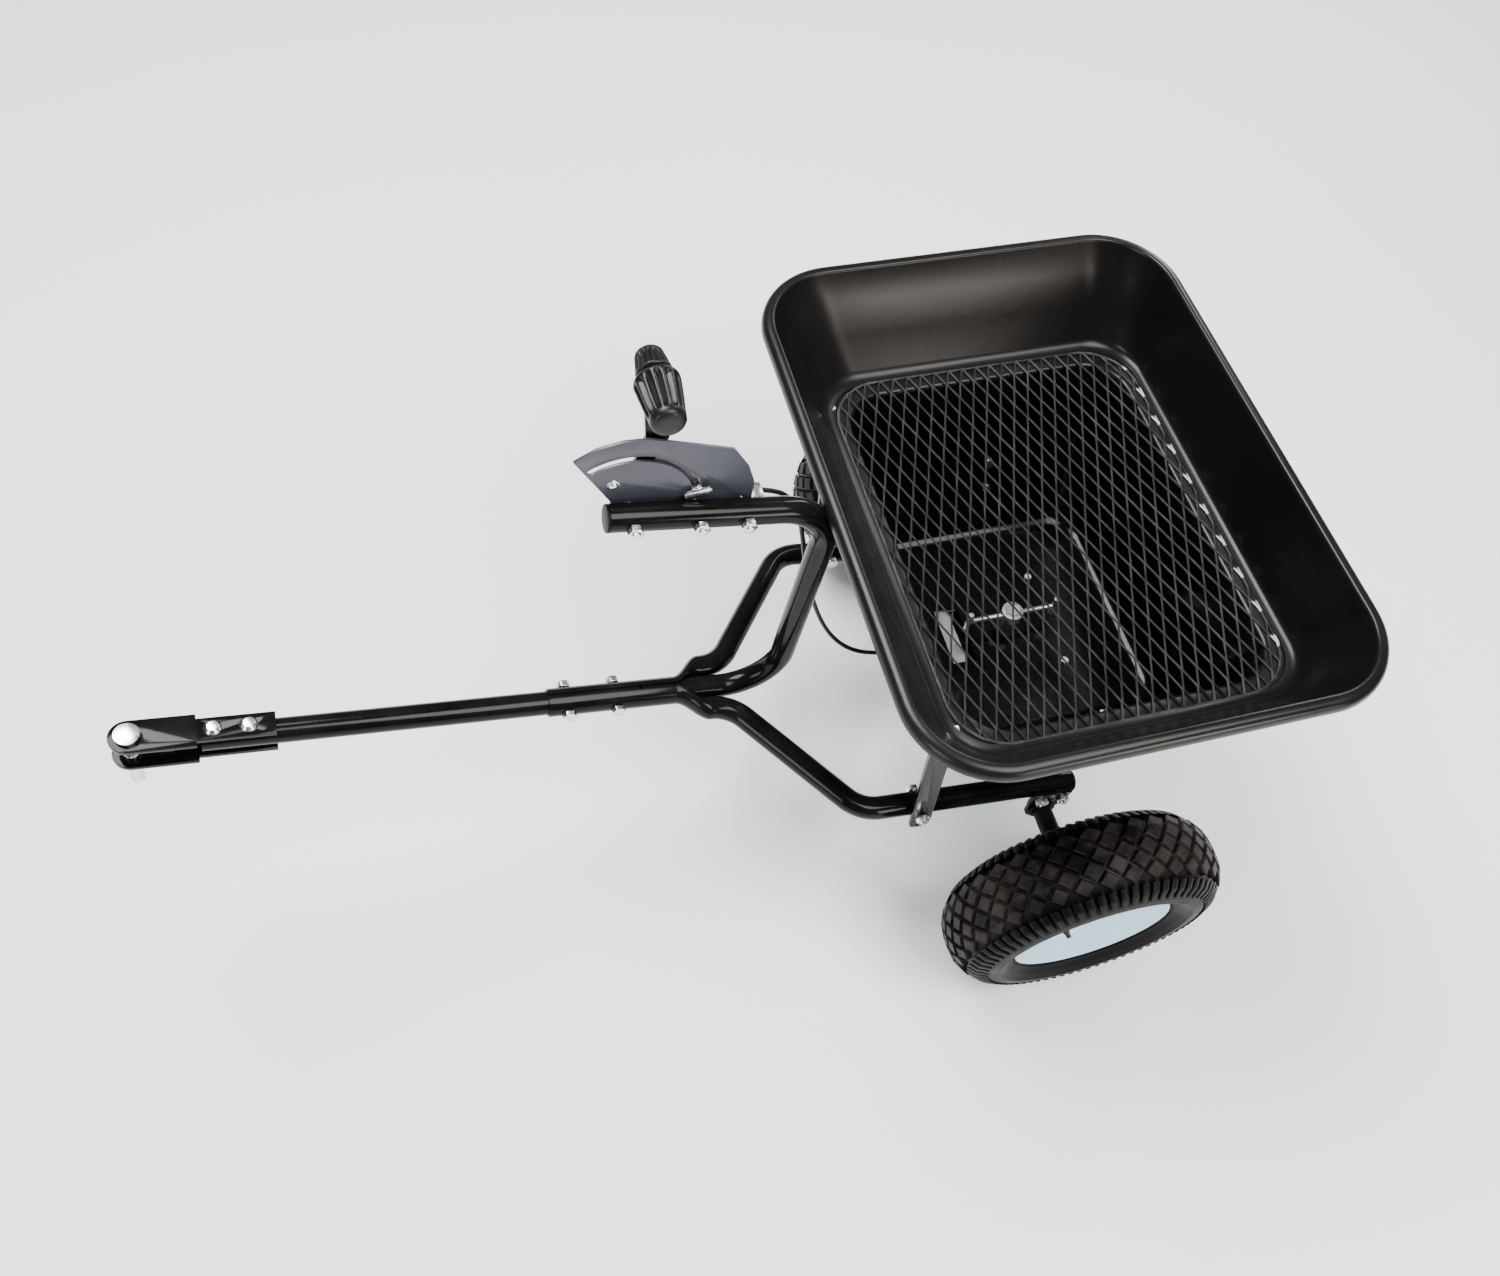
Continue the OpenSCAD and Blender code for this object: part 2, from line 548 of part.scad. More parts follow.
// the tyre's outer and inner outline on one side of its middle, from the bead to the crown
tyre_outer = [[rim_r + 0.2, disc_y - 3.2], [rim_r + 6.6, disc_y - 0.5], [rim_r + 7.5, disc_y + 3.2],
    [rim_r + 20, tyre_w/2 - 3], [rim_r + 36, tyre_w/2], [tyre_r - 22, tyre_w/2 - 5], [tyre_r - 10, tyre_w/2 - 17],
    [tyre_r - 3, tyre_w/2 - 31], [tyre_r, tyre_w/2 - 42]];
tyre_inner = [[rim_r + 0.2, disc_y - 14], [rim_r + 12, disc_y - 8], [rim_r + 26, tyre_w/2 - 10],
    [tyre_r - 30, tyre_w/2 - 12], [tyre_r - 17, tyre_w/2 - 26], [tyre_r - 13, tyre_w/2 - 40]];
function turned_back(points) = [for (i = [len(points) - 1:-1:0]) points[i]];
function flipped(points) = [for (p = points) [p[0], -p[1]]];
module tyre(side) color([0.03, 0.03, 0.03]) at_wheel(side) rotate([-90, 0, 0]) rotate_extrude($fn = 128)
    polygon(concat(tyre_outer, turned_back(flipped(tyre_outer)), flipped(tyre_inner), turned_back(tyre_inner)));
module hub_bushes(side) color([0.85, 0.85, 0.82]) at_wheel(side) for (e = [-1, 1])
    rotate([e > 0 ? -90 : 90, 0, 0]) {
        end = e > 0 ? hub_out : hub_half;
        difference() {
            union() {
                translate([0, 0, end - 14]) cylinder(r = bush_r, h = 14);
                translate([0, 0, end]) cylinder(r = hub_r, h = 2);
            }
            translate([0, 0, end - 15]) cylinder(r = axle_r + run_gap, h = 30);
            if (side < 0 && e < 0) translate([0, 0, end - 6]) rotate([90, 0, 0])
                translate([0, 0, -hub_r]) cylinder(r = 2.5 + hole_gap, h = 2*hub_r);
        }
    }
module valve_stem(side) color([0.1, 0.1, 0.1]) at_wheel(side) rotate([-90, 0, 0])
    rotate([0, 0, valve_turn]) translate([valve_r, 0, 0]) {
        translate([0, 0, disc_y - 4]) cylinder(r = 4, h = 12);
        translate([0, 0, disc_y + 8]) cylinder(r1 = 4, r2 = 3, h = 3);
        translate([0, 0, disc_y + 0.1]) cylinder(r = 6, h = 2.5);
    }
module hub_cap(side) color([0.8, 0.81, 0.83]) at_wheel(side) translate([0, hub_out + 2.4, 0])
    rotate([-90, 0, 0]) difference() {
        rotate_extrude($fn = 64) polygon(concat([[0, 0], [cap_r, 0], [cap_r, 1.6]],
            [for (a = [0:15:90]) [(cap_r - 1.5)*cos(a), 1.6 + 6.5*sin(a)]]));
        translate([0, 0, -eps]) cylinder(r = axle_r, h = axle_half - wheel_y - hub_out - 2.4 + eps);
    }
module axle_spacers() color([0.7, 0.71, 0.73]) at_axle() for (s = [-1, 1]) {
    y0 = bracket_y + bracket_t + 3 + free_gap;
    y1 = wheel_y - hub_half - 2 - free_gap;
    mirror([0, s > 0 ? 0 : 1, 0]) difference() {
        rod_y(axle_r + 3, y0, y1);
        rod_y(axle_r, y0 - eps, y1 + eps);
    }
}
module drive_pin() color([0.75, 0.76, 0.78]) at_axle() translate([0, -wheel_y + hub_half - 6, 0]) {
    translate([0, 0, -hub_r - 4]) cylinder(r = 2.5, h = 2*hub_r + 8);
    translate([0, 0, hub_r + 0.2]) cylinder(r = 5, h = 2.5);
}
module axle_bracket(side) color([0.03, 0.03, 0.03]) in_frame() mirror([0, side > 0 ? 0 : 1, 0])
    difference() {
        upright(bracket_y, bracket_t) {
            circle(19);
            polygon([[-19, 0], [19, 0], [24, tube_rise - 10], [24, tube_rise + 9],
                [-24, tube_rise + 9], [-24, tube_rise - 10]]);
        }
        rod_y(bush_r + seat_gap/2, bracket_y - eps, bracket_y + bracket_t + eps);
        for (u = bracket_bolt_u) translate([u, 0, tube_rise])
            rod_y(bolt_r + hole_gap, bracket_y - eps, bracket_y + bracket_t + eps);
    }
module axle_bush(side) color([0.85, 0.85, 0.82]) at_axle() mirror([0, side > 0 ? 0 : 1, 0]) difference() {
    union() {
        rod_y(bush_r, bracket_y - 8, bracket_y + bracket_t + 0.1);
        rod_y(bush_r + 4, bracket_y + bracket_t + 0.1, bracket_y + bracket_t + 3);
    }
    rod_y(axle_r + run_gap, bracket_y - 10, bracket_y + bracket_t + 6);
}
module bracket_bolts() color([0.2, 0.2, 0.2]) in_frame() for (s = [-1, 1])
    mirror([0, s > 0 ? 0 : 1, 0]) translate([bracket_bolt_u[1], 0, tube_rise])
        bolt_y(bolt_r, side_y - tube_r - 0.1, bracket_y + bracket_t + 0.1);

// ---- spreading gear ----
tooth_y = pinion_r;      // pitch plane of the crown gear, left of the shaft
pitch = PI*gear_m;
rack_half = 0.5*(pitch/2 - 0.9);
module crown_gear() color([0.75, 0.72, 0.6]) at_axle() difference() {
    union() {
        rod_y(crown_r + 4, tooth_y + 1.25*gear_m, tooth_y + 1.25*gear_m + 7);
        rod_y(14, tooth_y + 1.25*gear_m, box_left - box_t - free_gap);
        for (i = [0:crown_teeth - 1]) rotate([0, i*360/crown_teeth, 0])
            translate([0, 0, crown_r - face_w/2]) linear_extrude(face_w) polygon([
                [-rack_half - 1.25*gear_m*0.4, tooth_y + 1.3*gear_m],
                [-rack_half + 0.8*gear_m*0.4, tooth_y - 0.8*gear_m],
                [rack_half - 0.8*gear_m*0.4, tooth_y - 0.8*gear_m],
                [rack_half + 1.25*gear_m*0.4, tooth_y + 1.3*gear_m]]);
    }
    rod_y(axle_r, 0, box_left);
}
module drive_pinion() color([0.75, 0.72, 0.6]) on_ground()
    translate([0, 0, axle_z + crown_r - face_w/2 - 1]) difference() {
        linear_extrude(face_w + 2) {
            circle(pinion_r - 1.05*gear_m);
            for (i = [0:pinion_teeth - 1]) rotate(90 + 180/pinion_teeth + i*360/pinion_teeth)
                polygon([[pinion_r - 1.3*gear_m, -2.1], [pinion_r, -1.3], [pinion_r + 0.8*gear_m, -0.55],
                    [pinion_r + 0.8*gear_m, 0.55], [pinion_r, 1.3], [pinion_r - 1.3*gear_m, 2.1]]);
        }
        translate([0, 0, -eps]) cylinder(r = shaft_r - 1.35, h = 20);
    }
module spinner_shaft() color([0.7, 0.71, 0.73]) on_ground() {
    translate([0, 0, axle_z + crown_r - face_w/2 - 3]) cylinder(r = shaft_r - 1.35, h = face_w + 6);
    translate([0, 0, axle_z + crown_r + face_w/2 + 1.2])
        cylinder(r = shaft_r, h = floor_z + 34 - axle_z - crown_r - face_w/2 - 1.2);
}
module gearbox_half(y0, y1, left) color([0.08, 0.08, 0.09]) at_axle() difference() {
    union() {
        rod_y(box_r, y0, y1);
        intersection() {
            translate([0, 0, 20]) cylinder(r = neck_r, h = neck_top - axle_z - 20);
            translate([-40, y0, 0]) cube([80, y1 - y0, 100]);
        }
        for (a = [45, 135, 225, 315]) rotate([0, a, 0]) translate([0, 0, box_r + 2])
            rod_y(7, left ? 0.1 : -8, left ? 8 : -0.1);
    }
    rod_y(box_r - box_t, left ? y0 - eps : y0 + box_t, left ? y1 - box_t : y1 + eps);
    rod_y(axle_r + run_gap, y0 - eps, y1 + eps);
    translate([0, 0, 20]) cylinder(r = 9 + seat_gap/2, h = 80);
    for (a = [45, 135, 225, 315]) rotate([0, a, 0]) translate([0, 0, box_r + 4])
        rod_y(1.8, -20, 20);
}
module gearbox_left() gearbox_half(0.1, box_left, true);
module gearbox_right() gearbox_half(box_right, -0.1, false);
module gearbox_screws() color([0.6, 0.6, 0.6]) at_axle() for (a = [45, 135, 225, 315])
    rotate([0, a, 0]) translate([0, 0, box_r + 4]) {
        rod_y(1.6, -10, 9.5);
        rod_y(3, -10.5, -8.1);
        rod_y(3, 8.1, 9.6);
    }
module shaft_bush() color([0.7, 0.5, 0.25]) on_ground() difference() {
    union() {
        translate([0, 0, axle_z + crown_r + face_w/2 + 2]) cylinder(r = 9, h = neck_top - axle_z - crown_r - face_w/2 - 2);
        translate([0, 0, neck_top + 0.05]) cylinder(r = 12, h = 1.6);
        translate([0, 0, neck_top - 1]) cylinder(r = 9, h = 2);
    }
    translate([0, 0, axle_z]) cylinder(r = shaft_r + run_gap, h = 100);
}
module floor_bush() color([0.85, 0.85, 0.82]) on_ground() difference() {
    union() {
        translate([0, 0, floor_z - 0.1]) cylinder(r = bush_r, h = wall + 2.3);
        translate([0, 0, floor_z + wall + 0.2]) cylinder(r = bush_r + 5, h = 3);
    }
    translate([0, 0, floor_z - eps]) cylinder(r = shaft_r + run_gap, h = 20);
}
module spinner_disc() color([0.1, 0.1, 0.1]) on_ground() translate([0, 0, spinner_z]) difference() {
    union() {
        cylinder(r = spinner_r, h = 2.5, $fn = 96);
        cylinder(r = 16, h = 22);
        for (a = [0:60:300]) rotate(a) translate([22, -1.25, 0]) cube([spinner_r - 26, 2.5, 18]);
    }
    translate([0, 0, -eps]) cylinder(r = shaft_r, h = 40);
}
module agitator() color([0.7, 0.71, 0.73]) on_ground() translate([0, 0, floor_z + 24]) difference() {
    union() {
        cylinder(r = 12, h = 12);
        for (s = [0, 180]) rotate(s) {
            translate([0, 0, 6]) rod_x(3, 9, 52);
            translate([52, 0, -8]) cylinder(r = 3, h = 28);
        }
    }
    translate([0, 0, -eps]) cylinder(r = shaft_r, h = 40);
}
function gate_screw_xy() = [for (sx = [-1, 1], sy = [-1, 1]) [gate_x + gate_shift + sx*80, sy*(gate_wid/2 + 8)]];
module gate_guide() color([0.06, 0.06, 0.06]) on_ground() for (s = [-1, 1])
    mirror([0, s > 0 ? 0 : 1, 0]) translate([gate_x + gate_shift - 90, 0, 0]) difference() {
        union() {
            translate([0, gate_wid/2 + free_gap, gate_top - gate_t - 3.4])
                cube([180, 14, gate_t + 3.8]);
            translate([0, gate_wid/2 - 5, gate_top - gate_t - 3.4]) cube([180, 6, 3]);
        }
        for (x = [10, 170]) translate([x, gate_wid/2 + 8, gate_top - 20]) cylinder(r = 2 + hole_gap, h = 40);
    }
module gate_screws() color([0.75, 0.76, 0.78]) on_ground() for (p = gate_screw_xy())
    translate([p[0], p[1], 0]) {
        translate([0, 0, gate_top - gate_t - 6]) cylinder(r = 2, h = gate_t + 6.5 + wall + 2);
        translate([0, 0, gate_top - gate_t - 6.1]) cylinder(r = 4, h = 2.6);
        translate([0, 0, floor_z + wall + 0.1]) cylinder(r = 4, h = 2.2);
    }
module shutter_gate() color([0.6, 0.61, 0.63]) on_ground() translate([gate_x, 0, gate_top - gate_t]) difference() {
    union() {
        translate([-gate_len/2, -gate_wid/2, 0]) cube([gate_len, gate_wid, gate_t]);
        translate([gate_len/2 - 1, -8, 0]) cube([18, 16, gate_t]);
        translate([gate_len/2 + 13, -8, -9]) cube([4, 16, 10]);
    }
    translate([outlet[0] - gate_shift - gate_x - outlet[1]/2, -outlet[2]/2, -eps])
        cube([outlet[1], outlet[2], gate_t + 2*eps]);
    translate([-gate_x - shaft_r - 20, -shaft_r - 1.2, -eps]) cube([2*shaft_r + 35, 2*shaft_r + 2.4, gate_t + 2*eps]);
}

hopper();
hopper_screen();
agitator();
gate_guide();
shutter_gate();
gate_screws();
floor_bush();
spinner_disc();
spinner_shaft();
drive_pinion();
crown_gear();
gearbox_left();
gearbox_right();
gearbox_screws();
shaft_bush();
axle();
axle_bracket(1);  // axle_bracket_left
axle_bracket(-1);  // axle_bracket_right
axle_bush(1);  // axle_bush_left
axle_bush(-1);  // axle_bush_right
bracket_bolts();
wheel_rim(1);  // wheel_rim_left
wheel_rim(-1);  // wheel_rim_right
tyre(1);  // tyre_left
tyre(-1);  // tyre_right
hub_bushes(1);  // hub_bushes_left
hub_bushes(-1);  // hub_bushes_right
valve_stem(1);  // valve_stem_left
valve_stem(-1);  // valve_stem_right
hub_cap(1);  // hub_cap_left
hub_cap(-1);  // hub_cap_right
axle_spacers();
drive_pin();
side_tube(1);  // frame_tube_left
side_tube(-1);  // frame_tube_right
drawbar();
control_tube();
tube_plugs();
joint_bolts();
strap_front(1);  // strap_front_left
strap_front(-1);  // strap_front_right
strap_rear(1);  // strap_rear_left
strap_rear(-1);  // strap_rear_right
strap_bolts();
hitch_strap_upper();
hitch_strap_lower();
hitch_bolts();
hitch_pin();
quadrant_plate();
quadrant_bolts();
lever();
lever_knob();
pivot_bolt();
stop_slider();
stop_bolt();
control_cable();
cable_clamps();
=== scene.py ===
"""Looks of the tow-behind spreader cart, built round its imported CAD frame."""

import json
from math import atan, cos, pi, radians, sin, tan

import bmesh
import bpy
from bpy.props import FloatProperty, FloatVectorProperty, IntProperty, PointerProperty
from mathutils import Matrix, Vector


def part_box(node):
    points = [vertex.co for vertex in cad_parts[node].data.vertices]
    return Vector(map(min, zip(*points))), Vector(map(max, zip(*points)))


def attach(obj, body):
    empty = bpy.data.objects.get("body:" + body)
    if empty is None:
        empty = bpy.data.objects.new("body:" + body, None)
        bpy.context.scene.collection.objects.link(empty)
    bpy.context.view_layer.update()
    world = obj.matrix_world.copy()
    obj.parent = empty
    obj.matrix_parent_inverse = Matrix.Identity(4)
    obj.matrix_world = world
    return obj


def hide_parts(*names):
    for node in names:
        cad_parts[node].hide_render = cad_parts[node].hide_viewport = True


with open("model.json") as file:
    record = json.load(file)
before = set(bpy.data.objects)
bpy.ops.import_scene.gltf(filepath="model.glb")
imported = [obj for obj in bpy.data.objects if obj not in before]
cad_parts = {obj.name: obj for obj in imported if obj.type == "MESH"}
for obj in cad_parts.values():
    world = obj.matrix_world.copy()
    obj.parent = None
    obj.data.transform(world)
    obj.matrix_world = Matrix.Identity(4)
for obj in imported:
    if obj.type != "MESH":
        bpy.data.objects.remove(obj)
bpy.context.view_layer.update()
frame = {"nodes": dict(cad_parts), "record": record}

bl_info = {
    "name": "Spreader Cart",
    "version": (1, 0, 0),
    "blender": (4, 5, 0),
    "location": "3D View > Sidebar > Spreader Cart",
    "description": "Builds the pieces and finishes of a tow-behind spreader cart round its CAD frame",
    "category": "Object",
}

MM = 0.001


def middle(node):
    """The middle of a CAD node's box."""
    low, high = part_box(node)
    return (Vector(low) + Vector(high)) / 2


AXLE = middle("axle")
TILT = radians(10.3)            # nose-up slope of the frame
TUBE_RISE = 26.6                # frame tubes' centreline over the axle, along the tilted frame
CONTROL_RISE = 313.0            # control tube over the frame tubes
PIVOT_U = 507.0                 # lever pivot in front of the axle, along the frame
WHEEL_Y = middle("wheel_rim_left").y / MM


def at(x, y, z):
    """A point from millimetres: x ahead of the axle, y from the middle, z from the ground."""
    return Vector((AXLE.x + x * MM, y * MM, z * MM))


def tilted(u, y, w):
    """A point from millimetres along, across and above the tilted frame, from the axle."""
    return Vector((
        AXLE.x + (u * cos(TILT) - w * sin(TILT)) * MM,
        y * MM,
        AXLE.z + (u * sin(TILT) + w * cos(TILT)) * MM,
    ))


ROUND_32 = [2 * pi * lane / 32 for lane in range(32)]


# ---- modelling helpers ----
def rest():
    """Object mode with nothing selected."""
    if bpy.context.object and bpy.context.object.mode != "OBJECT":
        bpy.ops.object.mode_set(mode="OBJECT")
    bpy.ops.object.select_all(action="DESELECT")


def named(name):
    """The active object, under that name."""
    piece = bpy.context.object
    piece.name = name
    piece.data.name = name
    return piece


def hold(piece):
    """Selects one piece alone and makes it active."""
    rest()
    piece.select_set(True)
    bpy.context.view_layer.objects.active = piece
    return piece


def lay(piece, ring):
    """Moves the selected ring of vertices to its points, lane by lane."""
    mesh = bmesh.from_edit_mesh(piece.data)
    lane = mesh.verts.layers.int["lane"]
    for vertex in mesh.verts:
        if vertex.select:
            vertex.co = ring[vertex[lane]]
    bmesh.update_edit_mesh(piece.data)


def skin(name, rings, solid=True):
    """A surface extruded from ring to ring. A solid has a face at each end; otherwise it meets itself."""
    rest()
    fill = "NGON" if solid else "NOTHING"
    bpy.ops.mesh.primitive_circle_add(vertices=len(rings[0]), radius=1, fill_type=fill)
    piece = named(name)
    bpy.ops.object.mode_set(mode="EDIT")
    mesh = bmesh.from_edit_mesh(piece.data)
    lane = mesh.verts.layers.int.new("lane")
    mesh.verts.ensure_lookup_table()
    for number, vertex in enumerate(mesh.verts):
        vertex[lane] = number
    lay(piece, rings[0])
    for ring in rings[1:]:
        bpy.ops.mesh.extrude_region()
        lay(piece, ring)
    tidy_mesh(piece)
    return piece


def tidy_mesh(piece, distance=1e-6):
    """Merges doubles, turns the faces outwards and leaves edit mode."""
    bpy.ops.mesh.select_all(action="SELECT")
    bpy.ops.mesh.remove_doubles(threshold=distance)
    bpy.ops.mesh.delete_loose()
    bpy.ops.mesh.select_all(action="SELECT")
    bpy.ops.mesh.normals_make_consistent(inside=False)
    bpy.ops.object.mode_set(mode="OBJECT")
    for layer in [a for a in piece.data.attributes if a.name == "lane"]:
        piece.data.attributes.remove(layer)


def turned(name, outline, centre, side=1, steps=96):
    """A closed outline of (radius, across) millimetres, spun about the wheel's axis."""
    rest()
    bpy.ops.mesh.primitive_circle_add(vertices=len(outline), radius=1)
    piece = named(name)
    bpy.ops.object.mode_set(mode="EDIT")
    mesh = bmesh.from_edit_mesh(piece.data)
    mesh.verts.ensure_lookup_table()
    for vertex, (radius, across) in zip(mesh.verts, outline):
        vertex.co = centre + Vector((radius, side * across, 0)) * MM
    bmesh.update_edit_mesh(piece.data)
    bpy.ops.mesh.select_all(action="SELECT")
    bpy.ops.mesh.spin(steps=steps, angle=2 * pi, center=centre, axis=(0, 1, 0))
    tidy_mesh(piece, 1e-5)
    return piece


def modify(piece, kind, **settings):
    """Adds a modifier with its settings and applies it."""
    hold(piece)
    bpy.ops.object.modifier_add(type=kind)
    modifier = piece.modifiers[-1]
    for key, value in settings.items():
        setattr(modifier, key, value)
    bpy.ops.object.modifier_apply(modifier=modifier.name)


def cut(piece, cutter):
    """Takes the cutter's shape out of the piece and deletes the cutter."""
    modify(piece, "BOOLEAN", operation="DIFFERENCE", solver="EXACT", object=cutter)
    hold(cutter)
    bpy.ops.object.delete()


def joined(pieces):
    """One piece out of several."""
    hold(pieces[0])
    for other in pieces[1:]:
        other.select_set(True)
    bpy.ops.object.join()
    return bpy.context.object


def done(piece, body, slot, nodes=(), angle=35):
    """Smooths a finished piece, gives it its finish and puts it on its body in place of its CAD nodes."""
    hold(piece)
    bpy.ops.object.shade_smooth_by_angle(angle=radians(angle))
    piece.data.materials.clear()
    piece.data.materials.append(bpy.data.materials["cart_" + slot])
    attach(piece, body)
    if nodes:
        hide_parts(*nodes)
    return piece


def bent(path, radius, steps):
    """The points of a path whose corners are rounded to a radius."""
    points = [path[0]]
    for before, corner, after in zip(path, path[1:], path[2:]):
        arriving = (corner - before).normalized()
        leaving = (after - corner).normalized()
        angle = arriving.angle(leaving)
        inwards = (leaving - arriving * arriving.dot(leaving)).normalized()
        start = corner - arriving * radius * tan(angle / 2)
        for step in range(steps + 1):
            turn = angle * step / steps
            points.append(start + inwards * radius * (1 - cos(turn)) + arriving * radius * sin(turn))
    return points + [path[-1]]


def headings(points):
    """The direction of travel at each point of a path."""
    ends = [points[0]] + points + [points[-1]]
    return [((b - a).normalized() + (c - b).normalized()).normalized() if a != b and b != c
            else (c - a).normalized() for a, b, c in zip(ends, ends[1:], ends[2:])]


def piped(points, radius, up, lanes):
    """The rings of a round bar along points given in the tilted frame."""
    rings = []
    for point, ahead in zip(points, headings(points)):
        out = up.cross(ahead)
        rings.append([tilted(*(point + radius * (out * cos(a) + up * sin(a)))) for a in lanes])
    return rings


# ---- finishes ----
def node(tree, kind, inputs=None, **settings):
    """A shader node with its settings. Each input named takes a value, or a link from a socket."""
    made = tree.nodes.new(kind)
    for key, value in settings.items():
        setattr(made, key, value)
    for key, value in (inputs or {}).items():
        if isinstance(value, bpy.types.NodeSocket):
            tree.links.new(value, made.inputs[key])
        else:
            made.inputs[key].default_value = value
    return made


def ramp(tree, value, low, high, **inputs):
    """A value stretched so that low gives 0 and high gives 1."""
    made = node(tree, "ShaderNodeMapRange", {"Value": value, "From Min": low, "From Max": high, **inputs})
    return made.outputs["Result"]


def noise(tree, vector, scale, detail, roughness):
    """Noise at a place."""
    return node(tree, "ShaderNodeTexNoise", {"Vector": vector, "Scale": scale, "Detail": detail,
                                             "Roughness": roughness}).outputs["Fac"]


def product(tree, first, second):
    """Two shares multiplied."""
    made = node(tree, "ShaderNodeMath", {0: first, 1: second}, operation="MULTIPLY", use_clamp=True)
    return made.outputs[0]


def new_group(name, inputs, outputs):
    """An empty shader node group with float inputs and outputs."""
    tree = bpy.data.node_groups.new(name, "ShaderNodeTree")
    for key, value in inputs.items():
        tree.interface.new_socket(key, in_out="INPUT", socket_type="NodeSocketFloat").default_value = value
    for key in outputs:
        tree.interface.new_socket(key, in_out="OUTPUT", socket_type="NodeSocketFloat")
    return tree, tree.nodes.new("NodeGroupInput").outputs, tree.nodes.new("NodeGroupOutput").inputs


def grain_group():
    """Fine surface grain: a height for bumps, and a slow change for colour and gloss."""
    tree, given, out = new_group("Grain", {"Scale": 400.0, "Patch Scale": 9.0}, ("Height", "Change"))
    place = node(tree, "ShaderNodeTexCoord").outputs["Object"]
    tree.links.new(noise(tree, place, given["Scale"], 3.0, 0.6), out["Height"])
    slow = noise(tree, place, given["Patch Scale"], 4.0, 0.55)
    tree.links.new(ramp(tree, slow, 0.3, 0.7), out["Change"])


def wear_group():
    """Rubbed edges: where the shape is sharp, broken up by noise."""
    tree, given, out = new_group("Edge Wear", {"Amount": 0.5, "Start": 0.53}, ("Mask",))
    shape = node(tree, "ShaderNodeNewGeometry")
    end = node(tree, "ShaderNodeMath", {0: given["Start"], 1: 0.06}, operation="ADD")
    edge = ramp(tree, shape.outputs["Pointiness"], given["Start"], end.outputs[0])
    place = node(tree, "ShaderNodeTexCoord").outputs["Object"]
    broken = ramp(tree, noise(tree, place, 70.0, 5.0, 0.7), 0.42, 0.62)
    tree.links.new(product(tree, product(tree, edge, broken), given["Amount"]), out["Mask"])


def dust_group():
    """Dust that settles on faces that look up."""
    tree, given, out = new_group("Dust", {"Amount": 0.3, "Scale": 14.0}, ("Mask",))
    place = node(tree, "ShaderNodeTexCoord").outputs
    split = node(tree, "ShaderNodeSeparateXYZ", {"Vector": place["Normal"]})
    upward = ramp(tree, split.outputs["Z"], 0.1, 1.0)
    patchy = ramp(tree, noise(tree, place["Object"], given["Scale"], 6.0, 0.65), 0.38, 0.72)
    tree.links.new(product(tree, product(tree, upward, patchy), given["Amount"]), out["Mask"])


def scratch_group():
    """Fine rub marks that run across the cart."""
    tree, given, out = new_group("Rub Marks", {"Amount": 0.3, "Scale": 30.0}, ("Mask",))
    place = node(tree, "ShaderNodeTexCoord").outputs["Object"]
    stretch = node(tree, "ShaderNodeMapping",
                   {"Vector": place, "Scale": (1.0, 0.05, 1.0), "Rotation": (0.0, 0.0, 0.35)})
    thin = ramp(tree, noise(tree, stretch.outputs["Vector"], given["Scale"], 8.0, 0.75), 0.6, 0.72)
    tree.links.new(product(tree, thin, given["Amount"]), out["Mask"])


def placed_group(tree, name, **values):
    """A shared node group in a material, with its own values."""
    made = tree.nodes.new("ShaderNodeGroup")
    made.node_tree = bpy.data.node_groups[name]
    for key, value in values.items():
        made.inputs[key.replace("_", " ")].default_value = value
    return made


def blended(tree, below, colour, mask):
    """A colour laid over another colour, or over a socket, where the mask is white."""
    under = (*below, 1.0) if isinstance(below, tuple) else below
    mix = node(tree, "ShaderNodeMix", {"A": under, "B": (*colour, 1.0), "Factor": mask}, data_type="RGBA")
    return mix.outputs["Result"]


def overlaid(material, colour, mask):
    """Lays a colour over what a finished material already shows."""
    tree = material.node_tree
    base = tree.nodes["Principled BSDF"].inputs["Base Color"]
    tree.links.new(blended(tree, base.links[0].from_socket, colour, mask), base)


# how much duller each layer makes a finish
WEAR_DULLS, RUB_DULLS, DUST_DULLS = 0.0, 0.1, 0.5
COAT_ROUGHNESS = 0.08


def finish(name, colour, second, rough, metallic=0.0, coat=0.0, specular=0.5, grain=400.0, patch=9.0,
           bump=0.1, depth=0.0002, wear=None, dust=None, rubs=None):
    """A material: two colours mixed in patches, grained, with worn edges, rub marks and dust over them."""
    material = bpy.data.materials.new("cart_" + name)
    material.use_nodes = True
    tree = material.node_tree
    shader = tree.nodes["Principled BSDF"]
    shader.inputs["Metallic"].default_value = metallic
    shader.inputs["Coat Weight"].default_value = coat
    shader.inputs["Coat Roughness"].default_value = COAT_ROUGHNESS
    shader.inputs["Specular IOR Level"].default_value = specular
    grains = placed_group(tree, "Grain", Scale=grain, Patch_Scale=patch).outputs
    top = blended(tree, colour, second, grains["Change"])
    gloss = node(tree, "ShaderNodeMapRange",
                 {"Value": grains["Change"], "To Min": rough[0], "To Max": rough[1]})
    duller = gloss.outputs["Result"]
    layers = (("Edge Wear", wear, WEAR_DULLS), ("Rub Marks", rubs, RUB_DULLS), ("Dust", dust, DUST_DULLS))
    for effect, given, dulls in layers:
        if given:
            amount, over = given
            mask = placed_group(tree, effect, Amount=amount).outputs["Mask"]
            top = blended(tree, top, over, mask)
            duller = node(tree, "ShaderNodeMath", {0: mask, 1: dulls, 2: duller},
                          operation="MULTIPLY_ADD").outputs[0]
    raised = node(tree, "ShaderNodeBump", {"Strength": bump, "Distance": depth, "Height": grains["Height"]})
    tree.links.new(top, shader.inputs["Base Color"])
    tree.links.new(duller, shader.inputs["Roughness"])
    tree.links.new(raised.outputs["Normal"], shader.inputs["Normal"])
    return material


